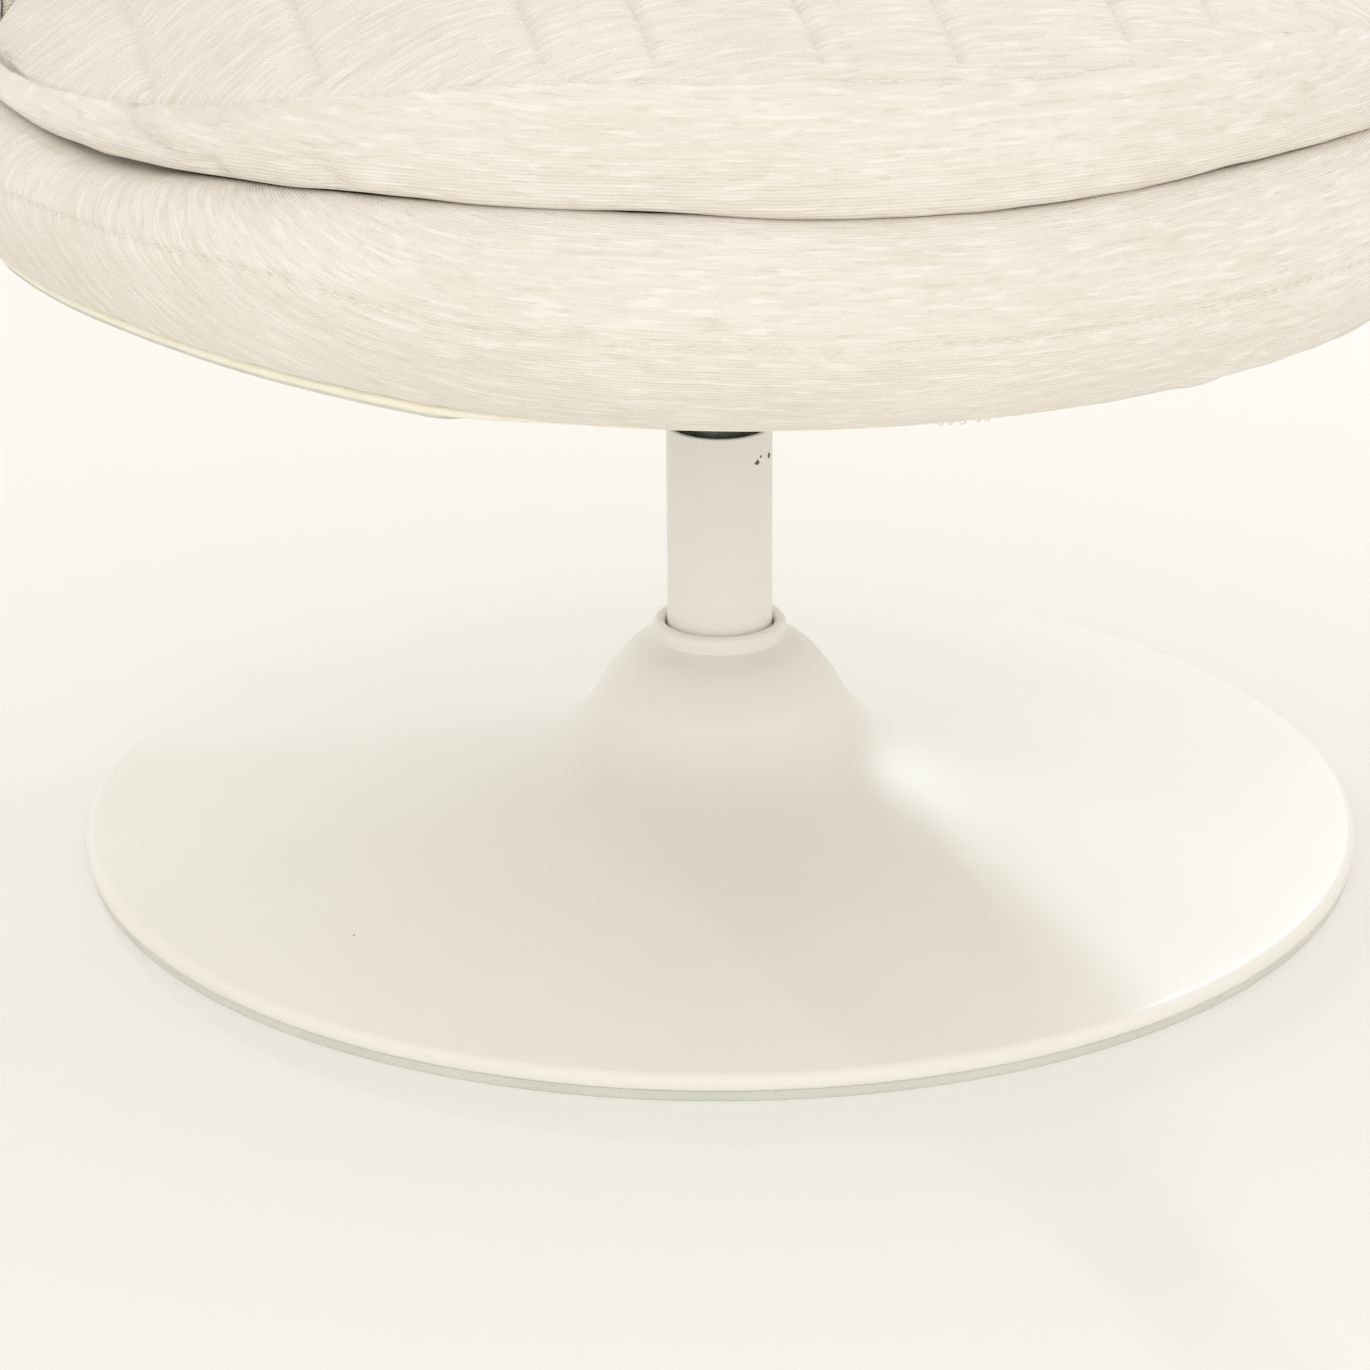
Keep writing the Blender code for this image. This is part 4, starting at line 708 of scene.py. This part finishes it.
# Topstitching: cream thread along the ridge seam, each stitch half sunk in the cloth
thread = simple("cream_thread", 0.7, (0.80, 0.755, 0.675), (0.885, 0.85, 0.785), 400.0, 2500.0, 0.0001, 0.5)
STITCH_PITCH, STITCH_LENGTH, STITCH_RADIUS = 0.0062, 0.0042, 0.0004


def stitched(name, paths):
    """Stitches along lines of points: one bead, repeated and bent along each line, then applied."""
    bm = bmesh.new()
    for path in paths:
        route = bpy.data.curves.new("route", "CURVE")
        route.dimensions, route.twist_mode = "3D", "Z_UP"
        spline = route.splines.new("POLY")
        spline.points.add(len(path) - 1)
        for point, place in zip(spline.points, path):
            point.co = (*place, 1)
        line = linked("route", route)
        bead = bmesh.new()
        bmesh.ops.create_uvsphere(bead, u_segments=6, v_segments=4, radius=1)
        bmesh.ops.scale(bead, verts=bead.verts, vec=(STITCH_LENGTH / 2, STITCH_RADIUS, STITCH_RADIUS))
        row = linked("row", meshed("bead", bead))
        array = row.modifiers.new("row", "ARRAY")
        array.count = int(sum((b - a).length for a, b in zip(path, path[1:])) / STITCH_PITCH)
        array.use_relative_offset, array.use_constant_offset = False, True
        array.constant_offset_displace = (STITCH_PITCH, 0, 0)
        row.modifiers.new("bend", "CURVE").object = line
        bm.from_mesh(bpy.data.meshes.new_from_object(evaluated(row)))
        for obj in (row, line):
            bpy.data.objects.remove(obj)
    return fitted(name, bm, thread, "seat", weld=0.000001)


stitch_line = [polar(SHELL_RIDGE - 0.0009, a, ridge_z(a) + 0.0004) for a in np.arange(0, 360.5, 0.5)]
stitched("ridge_stitches", [stitch_line])

# A few yarn ends have come loose at the hem in front and hang there in small loops
bm = bmesh.new()
for angle, reach, lean in ((-1.0, 0.0010, 12), (-0.3, 0.0007, -20), (0.5, 0.0012, 6), (1.6, 0.0008, 30),
                           (2.2, 0.0009, -10)):
    ring = bmesh.ops.create_circle(bm, segments=6, radius=0.0004)["verts"]
    edges = list({edge for vert in ring for edge in vert.link_edges})
    bmesh.ops.translate(bm, verts=ring, vec=(reach, 0, 0))
    bmesh.ops.spin(bm, geom=ring + edges, cent=(0, 0, 0), axis=(0, 1, 0), angle=pi * 1.1, steps=9)
    loop = [vert for vert in bm.verts if vert.co.length < 0.01]
    bmesh.ops.rotate(bm, verts=loop, matrix=Matrix.Rotation(radians(lean), 3, "Z"))
    bmesh.ops.translate(bm, verts=loop, vec=polar(SHELL_HEM + 0.0004, angle, shell_bottom_z(angle) + 0.0003))
bmesh.ops.holes_fill(bm, edges=[edge for edge in bm.edges if edge.is_boundary], sides=0)
fitted("loose_yarn", bm, thread, "seat", weld=0.000001)

# ------------------------
# Underside: a non-woven dust cloth stretched from the board out to the hoop, and a smooth cream welt stapled along
# the shell's hem, its pale yellow partly painted highlight. Towards the sides the welt hangs a little proud of the
# hem and shows.

CLOTH_Z, CLOTH_THICKNESS, CLOTH_FLAT, CLOTH_HOLE, CLOTH_EDGE = 0.2543, 0.0015, 0.1685, 0.019, 0.3358
CLOTH_SAG, SIDE_DROP, SIDE_SPREAD = 0.0030, 0.0089, 0.0055
WELT_CIRCLE, WELT_RADIUS = 0.3386, 0.0022
dust = Finish("dust_cloth", Roughness=0.9)
place = dust.place()
dots = dust.add("TexVoronoi", None, {"Vector": place, "Scale": 700.0}, out="Distance")
mottle = dust.noise(place, 120.0, 4.0)
dust.feed("Base Color", dust.ramp(mottle, (0.3, (0.60, 0.60, 0.535)), (0.7, (0.70, 0.695, 0.635))))
dust.raised(dots, 0.0003, 0.7)


def side_share(angle):
    """Where the welt hangs proud: the two sides, nearer to the front on the left."""
    left = angle % 360 > 180
    return eased_share(folded(angle), *((24, 36) if left else (44, 56))) * (1 - eased_share(folded(angle), 78, 92))


def cloth_section(angle):
    edge = shell_bottom_z(angle) + 0.0032
    drop, rim = SIDE_DROP * side_share(angle)**1.5, CLOTH_EDGE + SIDE_SPREAD * side_share(angle)**2
    lower = [(lerp(CLOTH_HOLE, CLOTH_FLAT, t), CLOTH_Z) for t in (0, 0.3, 0.6, 0.8, 0.92, 0.98, 1)]
    for t in np.arange(1, 15) / 14:
        sag = -CLOTH_SAG * sin(pi * t) - drop * eased_share(t, 0.72, 0.97)
        lower.append((lerp(CLOTH_FLAT, rim, t), lerp(CLOTH_Z, edge, t) + sag))
    return lower + [(r, z + CLOTH_THICKNESS) for r, z in reversed(lower)]


bm = carried(cloth_section, 240)
cloth = fitted("dust_cloth", bm, dust, "seat", ["underside_cloth"], sharp=60)


def gathers(point):
    outward = hypot(point.x, point.y)
    pull = lumps((angle_of(point) * 0.006, outward * 0.25, 0.4), 0.02) * eased_share(outward, 0.19, 0.31)
    return pull * 0.0012 * (1 - eased_share(outward, 0.327, 0.3355))


for vert in cloth.data.vertices:
    vert.co.z += gathers(vert.co)
cloth.data.update()

# Painted highlight: the welt's pale yellow cream, lighter than the cloth beside it, is partly its own colour and
# partly stands for a lit fold along the hem.
welt = simple("cream_welt_painted_highlight", 0.55, (0.895, 0.855, 0.690), (0.950, 0.920, 0.790), 90.0, 1200.0, 0.0002, 0.5, 3.0)


def welt_section(angle):
    side = side_share(angle)
    middle = Vector((WELT_CIRCLE + 0.0016 * side, shell_bottom_z(angle) + 0.0003 - 0.0022 * side))
    return [middle + Vector((cos(t), sin(t))) * (WELT_RADIUS + 0.0006 * side) for t in np.arange(12) * pi / 6]


fitted("hem_welt", carried(welt_section, 360), welt, "seat", ["bottom_welt"])

# ------------------------
# Inner pad: foam sewn in upright channels inside the arms and back, thickest at the small of the back.
# Each channel swells between its seams and rolls over at the top into the shell's crest.

PAD_START, PAD_CHANNELS, CHANNEL_STEPS, PAD_FACE_ROWS = 101, 16, 12, 22
PAD_THICKNESS, LUMBAR_DEPTH, PAD_VALLEY, PAD_MEAN_RADIUS = 0.036, 0.065, 0.0068, 0.285
PAD_OUTER = HOOP_INNER - 0.0009
PAD_EDGE = SHELL_LIP - 0.0006
PAD_GROWTH = ((0, 0.1), (101, 0.15), (105.5, 0.5), (110.5, 0.85), (116, 1), (180, 1))
PAD_LUMBAR = ((0, 0), (100, 0), (110, 0.043), (125, 0.232), (140, 0.5), (160, 0.844), (180, 1))


def pad_growth(angle):
    return PAD_THICKNESS * share_at(PAD_GROWTH, angle)


def pad_face_radius(angle, rise):
    return PAD_OUTER - pad_growth(angle) - LUMBAR_DEPTH * share_at(PAD_LUMBAR, angle) * (1 - rise)


def pad_channel(angle):
    """Counts the channels round the pad; a whole number is a seam."""
    return (angle - PAD_START) / (360 - 2 * PAD_START) * PAD_CHANNELS


def pad_section(angle):
    valley = 1 - abs(sin(pi * pad_channel(angle)))**0.55
    depth = min(PAD_VALLEY, pad_growth(angle) / 3) * valley
    crest, top = crest_z(angle), frame_top_z(angle)
    height = crest - 0.008 - PAD_Z
    face = [(min(pad_face_radius(angle, t) + depth, PAD_EDGE - 0.0003), PAD_Z + height * t)
            for t in np.arange(0, PAD_FACE_ROWS + 1) / 24]
    shoulder = min(pad_face_radius(angle, 0.97) + depth + 0.0008, PAD_EDGE - 0.0003), PAD_Z + height * 0.96
    roll = min(pad_face_radius(angle, 1) + depth / 2 + 0.010, PAD_EDGE - 0.00015), PAD_Z + height + 0.0012
    bend = smooth_line([face[-1], shoulder, roll, (PAD_EDGE, crest - 0.004)], 4)[1:]
    behind = [(PAD_EDGE, top + 0.0028), (PAD_OUTER, top + 0.0025), (PAD_OUTER, lerp(PAD_Z, top, 0.5)),
              (PAD_OUTER, PAD_Z)]
    return face + bend + behind


bm = carried(pad_section, PAD_CHANNELS * CHANNEL_STEPS, PAD_START, 360 - PAD_START)
up_layer, turn_layer = bm.verts.layers.float["up"], bm.verts.layers.float["turn"]
weave_map(bm, lambda point, middle, vert: (radians(vert[turn_layer]) * PAD_MEAN_RADIUS, vert[up_layer]))
pad = fitted("channelled_pad", bm, chenille, "seat", ["inner_pad"], sharp=80)
rows, channel = values_of(pad, "row"), pad_channel(values_of(pad, "turn"))
on_seam = np.abs(channel - np.round(channel)) < 0.03
fixed = (rows > PAD_FACE_ROWS + 9) | (rows < 0.5) | (on_seam & (rows < PAD_FACE_ROWS + 6))
stuffed(pad, np.where(fixed, 1.0, 0.0), limit=0.0035)
refined(pad)


def pad_creases(point, row, turn):
    """Puckers beside each channel's seam, fading to its middle, and soft lumps."""
    if row > PAD_FACE_ROWS + 9:
        return 0.0
    channel = pad_channel(turn)
    off = abs(channel - round(channel))
    pucker = lumps((point.z, round(channel) * 0.3, 0.0), 0.012, 2.0) * bell(off, 0.16) * 0.0011
    seam = -0.0022 * bell(off, 0.05)
    return pucker + seam + lumps(point, 0.06, 6.0) * 0.0012 + lumps(point, 0.024, 1.0) * 0.0005


creased(pad, pad_creases, "row", "turn")

# ------------------------
# Seat cushion: loose, crowned, with its top sewn in fore-and-aft channels that stop short of the boxing
# seam. The boxing band is full in front, narrows to the sides and rolls under onto the shell's lip.

CUSHION_FRONT, CUSHION_CROWN_Z, CUSHION_REST = 0.330, 0.484, 0.0003
CUSHION_EDGE_Z, CUSHION_LIFTED, CUSHION_BAND = PAD_Z + 0.0046, 0.0095, 0.0524
BACK_GAP, UNDER_SHARE, BAND_RADIUS = 0.009, 0.85, 0.335
FRONT_BULGE, ARM_BULGE, SEAM_DIP, CHANNEL_DEPTH = 0.0145, 0.005, 0.0045, 0.0030
CUSHION_PLAN = ((0, 1), (89, 1), (93, 0.985), (96, 0.958), (98.5, 0.925), (101, 0.9), (105, 0.875),
                (110, 0.857), (115, 0.852), (180, 0.852))
CUSHION_SEAM = ((0, 1), (20, 1), (27, 0.972), (33, 0.885), (40, 0.767), (48, 0.62), (56, 0.46), (65, 0.336),
                (75, 0.23), (96, 0.22), (108, 0.4), (120, 0.55), (180, 0.6))
# Places of the channels' seams across the cushion, left to right
CHANNELS = (-0.283, -0.226, -0.149, -0.109, -0.047, 0.008, 0.080, 0.121, 0.170, 0.226, 0.283)
COLUMN_WIDTH, COLUMN_ROWS, CROWDING = 0.0062, 96, 0.12


def cushion_radius(angle):
    free = CUSHION_FRONT * share_at(CUSHION_PLAN, angle)
    held = pad_face_radius(angle, 0) - BACK_GAP
    return min(free, held) if folded(angle) > PAD_START else free


def cushion_bulge(angle):
    return lerp(FRONT_BULGE, ARM_BULGE, arm_share(angle))


def cushion_floor_z(angle):
    return CUSHION_EDGE_Z + CUSHION_LIFTED * share_at(CUSHION_LIFT, angle)


def cushion_seam_z(angle):
    sag = SEAM_DIP * bell((angle + 180) % 360 - 186, 9)
    return CUSHION_EDGE_Z + CUSHION_BAND * share_at(CUSHION_SEAM, angle) - sag


def cushion_crown_z(x, y):
    angle = angle_of((x, y))
    share = min(hypot(x, y) / cushion_radius(angle), 1)
    return lerp(CUSHION_CROWN_Z, cushion_seam_z(angle), share**6)


angles = np.linspace(0, 180, 721)
plan = [(cushion_radius(a) * sin(radians(a)), -cushion_radius(a) * cos(radians(a))) for a in angles]
widest = max(range(len(plan)), key=lambda k: plan[k][0])
half = plan[widest][0]
places = [-half]
for stop in (*CHANNELS, half):
    count = round((stop - places[-1]) / COLUMN_WIDTH)
    places += list(np.linspace(places[-1], stop, count + 1)[1:])
front_x, front_y = zip(*plan[: widest + 1])
back_x, back_y = zip(*reversed(plan[widest:]))
columns = len(places) - 1


def ends_at(x):
    """The plan's front and back edge at that place across."""
    return np.interp(abs(x), front_x, front_y), np.interp(abs(x), back_x, back_y)


def channel_at(x):
    """Distance to the nearest channel seam, and that channel's width."""
    seams = np.array([-half, *CHANNELS, half])
    k = int(np.clip(np.searchsorted(seams, x) - 1, 0, len(seams) - 2))
    width = seams[k + 1] - seams[k]
    edges = [abs(x - s) for s in (seams[k], seams[k + 1]) if abs(s) < half - 0.001]
    return min(edges) if edges else width / 2, width


def groove(x, edge_distance):
    off, width = channel_at(x)
    swell = sin(pi * min(off / width, 0.5))**0.5
    return CHANNEL_DEPTH * (1 - swell) * eased_share(edge_distance, 0.002, 0.060)


bm = bmesh.new()
bmesh.ops.create_grid(bm, x_segments=columns, y_segments=COLUMN_ROWS, size=1)
zone_layer, rim_layer, turn_layer, edge_layer, over_layer, along_layer = [
    bm.verts.layers.float.new(name) for name in ("zone", "rim", "turn", "edge", "over", "along")]
grid = {}
for vert in bm.verts:
    i, j = round((vert.co.x + 1) / 2 * columns), round((vert.co.y + 1) / 2 * COLUMN_ROWS)
    grid[i, j] = vert
ring = [e for e in bm.edges if e.is_boundary]
for (i, j), vert in grid.items():
    x = places[i]
    front, back = ends_at(x)
    # Rows crowd towards both ends, where the top rolls down to its seam
    turn = pi * lerp(CROWDING, 1 - CROWDING, j / COLUMN_ROWS)
    y = lerp(front, back, 0.5 - 0.5 * cos(turn) / cos(pi * CROWDING))
    edge = min(y - front, back - y)
    vert.co = (x, y, cushion_crown_z(x, y) - groove(x, edge))
    vert[edge_layer] = edge


def measured(line, layer, axis):
    """Gives each point its distance from the line's middle, along the line and with a sign."""
    middle = (len(line) - 1) // 2
    for half_line, sign in ((line[middle:], 1), (line[middle::-1], -1)):
        run = 0.0
        for last, vert in zip(half_line, half_line[1:]):
            step = vert.co - last.co
            run += hypot(step[axis], step.z)
            vert[layer] = sign * run


for i in range(columns + 1):
    measured([grid[i, j] for j in range(COLUMN_ROWS + 1)], along_layer, 1)
for j in range(COLUMN_ROWS + 1):
    measured([grid[i, j] for i in range(columns + 1)], over_layer, 0)
bottom = bmesh.ops.duplicate(bm, geom=[*bm.faces, *bm.verts, *bm.edges])["geom"]
for vert in [g for g in bottom if isinstance(g, bmesh.types.BMVert)]:
    vert.co = (vert.co.x * UNDER_SHARE, vert.co.y * UNDER_SHARE, PAD_Z + CUSHION_REST)
    vert[zone_layer] = 3
for vert in {vert for edge in ring for vert in edge.verts}:
    vert[rim_layer], vert[turn_layer] = hypot(vert.co.x, vert.co.y), angle_of(vert.co)


def drawn_out(ring, zone, place):
    """The next ring of the cover: each point's place is worked out from its radius and angle at the seam."""
    made = bmesh.ops.extrude_edge_only(bm, edges=ring)["geom"]
    for vert in [g for g in made if isinstance(g, bmesh.types.BMVert)]:
        vert.co = place(vert[rim_layer], vert[turn_layer])
        vert[zone_layer] = zone
    return [g for g in made if isinstance(g, bmesh.types.BMEdge)]


for out, down in smooth_line([(0, 0), (0.62, 0.22), (1, 0.62), (0.8, 1.02)], 4)[1:] + [(0.3, 1.06)]:
    ring = drawn_out(ring, 1 + down, lambda rim, angle: polar(
        rim + cushion_bulge(angle) * out, angle, lerp(cushion_seam_z(angle), cushion_floor_z(angle), down)))
for inset, level in ((0.012, 1), (0.028, 0.5)):
    ring = drawn_out(ring, 2.5, lambda rim, angle: polar(
        rim - inset, angle, lerp(PAD_Z + CUSHION_REST, cushion_floor_z(angle), level)))
drawn_out(ring, 3, lambda rim, angle: polar(rim * UNDER_SHARE, angle, PAD_Z + CUSHION_REST))
bmesh.ops.remove_doubles(bm, verts=bm.verts, dist=0.00002)


def cushion_weave(point, middle, vert):
    """The top's weft runs across it, the band's along it."""
    turn = angle_of(middle)
    inside = hypot(middle.x, middle.y) < cushion_radius(turn) and middle.z > cushion_seam_z(turn)
    if vert[zone_layer] < 0.5 and inside:
        return vert[over_layer], vert[along_layer]
    angle = angle_of(point)
    if abs(angle) > 170 and angle * middle.x < 0:
        angle = -angle
    return radians(angle) * BAND_RADIUS, 1.0 + point.z


weave_map(bm, cushion_weave)
cushion = fitted("channelled_cushion", bm, chenille, "seat", ["seat_cushion"], sharp=80)
zones, edges = values_of(cushion, "zone"), values_of(cushion, "edge")
xs = np.array([v.co.x for v in cushion.data.vertices])
on_seam = np.min(np.abs(xs[:, None] - np.array(CHANNELS)[None, :]), axis=1) < 0.0012
top_seam = (zones < 0.5) & on_seam & (edges > 0.012)
rim = (zones < 0.5) & (edges < 0.0004)
fixed = top_seam | rim | (zones > 1.96)
stuffed(cushion, np.where(fixed, 1.0, 0.0), limit=0.004)
refined(cushion)

# Folds in the band at the left: angle, lean, width, depth, and the shares of the band's height they span
FOLDS = ((-61.5, 9, 1.2, 0.0036, 0.0, 0.75), (-52.5, 3, 0.8, 0.0022, 0.1, 0.6), (-57.0, 7, 1.0, 0.0024, 0.45, 1.0),
         (-46.0, 5, 1.0, 0.0020, 0.5, 1.0))


def cushion_creases(point, zone, edge):
    """Sewn lines pulled in, puckers along the boxing seam, folds at the left and soft lumps."""
    if zone > 2.2:
        return 0.0
    angle = angle_of(point)
    amount = lumps(point, 0.05, 3.0) * 0.0013 + lumps(point, 0.021, 8.0) * 0.0005
    if zone < 0.5:
        off = channel_at(point.x)[0]
        sewn = eased_share(edge, 0.004, 0.010)
        amount -= 0.0020 * bell(off, 0.0018) * sewn
        amount += lumps((point.x * 0.4, edge, 1.0), 0.013, 5.0) * 0.0009 * bell(off, 0.012) * sewn
        seam = edge
    else:
        seam = (zone - 1) * 0.05 + 0.001
    amount -= 0.0009 * bell(seam, 0.0018)
    amount += lumps((angle * 0.0058, seam * 0.3, 2.0), 0.012, 7.0) * 0.0010 * bell(seam, 0.012)
    if 1 < zone < 2:
        down = zone - 1
        for place, lean, wide, deep, start, stop in FOLDS:
            reach = eased_share(down, start - 0.08, start + 0.1) * (1 - eased_share(down, stop - 0.1, stop + 0.08))
            amount -= deep * bell(angle - place - lean * down, wide) * reach
            amount += deep * 0.5 * bell(angle - place - 2.2 * wide - lean * down, wide * 1.3) * reach
    return amount


creased(cushion, cushion_creases, "zone", "edge")

boxing_line = [polar(cushion_radius(a) + 0.0004, a, cushion_seam_z(a) - 0.0009)
               for a in np.arange(-92, 92.5, 0.5)]
channel_lines = []
for x in CHANNELS:
    front, back = ends_at(x)
    ys = np.linspace(front + 0.012, back - 0.012, 60)
    levels = [cushion_crown_z(x, y) - groove(x, min(y - front, back - y)) - 0.0026 for y in ys]
    channel_lines.append([Vector((x, *spot)) for spot in zip(ys, levels)])
stitched("boxing_stitches", [boxing_line])
stitched("channel_stitches", channel_lines)

# Foam core inside the cover, and the zip in its rear band
foam = Finish("cut_foam", Roughness=0.95)
place = foam.place()
cells = foam.add("TexVoronoi", None, {"Vector": place, "Scale": 900.0}, out="Distance")
foam.feed("Base Color", foam.ramp(cells, (0.1, (0.66, 0.59, 0.38)), (0.6, (0.84, 0.77, 0.56))))
foam.raised(cells, 0.0008, 0.8)
CORE_SHARE, CORE_COVER = 0.88, 0.014


def core_section(angle):
    outline, low = cushion_radius(angle) * CORE_SHARE, PAD_Z + 0.0125
    points = [(0.0001, low), (outline - 0.006, low), (outline, low + 0.006)]
    for share in (1, 0.985, 0.95, 0.9, 0.8, 0.65, 0.5, 0.3, 0.15):
        spot = polar(outline * share, angle, 0)
        drop = 0.004 if share == 1 else 0.0015 if share == 0.985 else 0
        points.append((outline * share, cushion_crown_z(spot.x, spot.y) - CORE_COVER - drop))
    return points + [(0.0001, CUSHION_CROWN_Z - CORE_COVER)]


core = fitted("foam_core", carried(core_section, 120), foam, "seat", ["cushion_core"], weld=0.0003)

# Depth inside the cover, height above the tape's lower edge
ZIP_SECTION = ((0.012, 0), (0.0026, 0), (0.0022, 0.0010), (0.0010, 0.0012), (0.0010, 0.0022), (0.0022, 0.0024),
               (0.0026, 0.0034), (0.012, 0.0034))
zipper = simple("zip_tape", 0.6, (0.66, 0.63, 0.56), (0.78, 0.75, 0.68), 500.0, 1500.0, 0.0002)


def zip_section(angle):
    """Tape, half sunk in the band, with the closed coil standing out along its middle."""
    radius, low = cushion_radius(angle) + cushion_bulge(angle), cushion_floor_z(angle) + 0.0115
    return [(radius - depth, low + up) for depth, up in ZIP_SECTION]


bm = carried(zip_section, 60, 150, 210)
fitted("zip", bm, zipper, "seat", ["cushion_zip"])

# ------------------------
# Studio: pale floor under plain soft light, a broad soft lamp on the camera's side, small lamps behind at the
# right and low behind at the left, whose shadows cross the base, and the photograph's camera.

bm = bmesh.new()
bmesh.ops.create_grid(bm, x_segments=4, y_segments=4, size=9)
floor = linked("floor", meshed("floor", bm))
pale = Finish("pale_floor", Roughness=0.9, Specular_IOR_Level=0.1)
pale.shader.inputs["Base Color"].default_value = (0.88, 0.855, 0.80, 1)
seen = sum((pale.add("LightPath", out=kind) for kind in ("Is Glossy Ray", "Is Transmission Ray")),
           pale.add("LightPath", out="Is Camera Ray"))
glow = pale.add("Emission", None, {"Color": (0.965, 0.945, 0.905, 1), "Strength": 1.0})
mix = pale.add("MixShader", None, {0: seen * 0.32, 1: Wire(pale, pale.shader.outputs[0]), 2: glow})
pale.tree.links.new(mix.socket, pale.tree.nodes["Material Output"].inputs["Surface"])
floor.data.materials.append(pale.material)

world = bpy.data.worlds.new("studio")
scene.world = world
world.use_nodes = True
background = world.node_tree.nodes["Background"].inputs
background["Color"].default_value, background["Strength"].default_value = (1.0, 0.975, 0.935, 1), 0.98

CAMERA_TURN = 15


def lamp(name, azimuth, distance, height, size, power, colour, target_z=0.1):
    """A round lamp aimed at the column: azimuth 0 is on the camera's side, 90 at its right."""
    light = bpy.data.lights.new(name, "AREA")
    light.shape, light.size, light.energy, light.color = "DISK", size, power, colour
    obj = linked(name, light)
    obj.location = polar(distance, azimuth - CAMERA_TURN, height)
    obj.rotation_euler = (Vector((0, 0, target_z)) - obj.location).to_track_quat("-Z", "Y").to_euler()
    return obj


# Gloss and diffuse light are set apart, as the photograph's light on the base asks: one lamp lights gloss
# alone and three stay out of it
WARM, COOL = (1.0, 0.985, 0.96), (0.80, 0.89, 1.0)
lamp("front_fill", 4, 2.6, 1.15, 1.3, 9.5, WARM, 0.2).visible_glossy = False
lamp("back_right", 144, 1.45, 1.40, 0.10, 2.5, COOL)
lamp("back_right_gloss", 144, 1.45, 1.40, 0.10, 16, COOL).visible_diffuse = False
lamp("back", 175, 1.45, 1.36, 0.10, 1.2, COOL).visible_glossy = False
lamp("low_back_left", -159.5, 6, 1.7, 0.22, 95, COOL).visible_glossy = False

TURN, PITCH, ROLL = radians(CAMERA_TURN), radians(21.32), radians(-0.29)
DISTANCE, SIDEWAYS, HEIGHT = 2.0, 0.0167, 0.851
SENSOR, FOCAL_PIXELS, PHOTO_PIXELS = 36, 4478, 1370
forward = Vector((sin(TURN), cos(TURN), 0))
right = Vector((cos(TURN), -sin(TURN), 0))
camera = linked("camera", bpy.data.cameras.new("camera"))
camera.data.sensor_width, camera.data.lens = SENSOR, FOCAL_PIXELS / PHOTO_PIXELS * SENSOR
camera.data.clip_end = 50
aim = forward * cos(PITCH) - Vector((0, 0, sin(PITCH)))
up = right.cross(aim)
turned = Matrix((right, up, -aim)).transposed() @ Matrix.Rotation(ROLL, 3, "Z")
stand = -forward * DISTANCE - right * SIDEWAYS + Vector((0, 0, HEIGHT))
camera.matrix_world = Matrix.Translation(stand) @ turned.to_4x4()
scene.camera = camera
scene.view_settings.view_transform = "Standard"
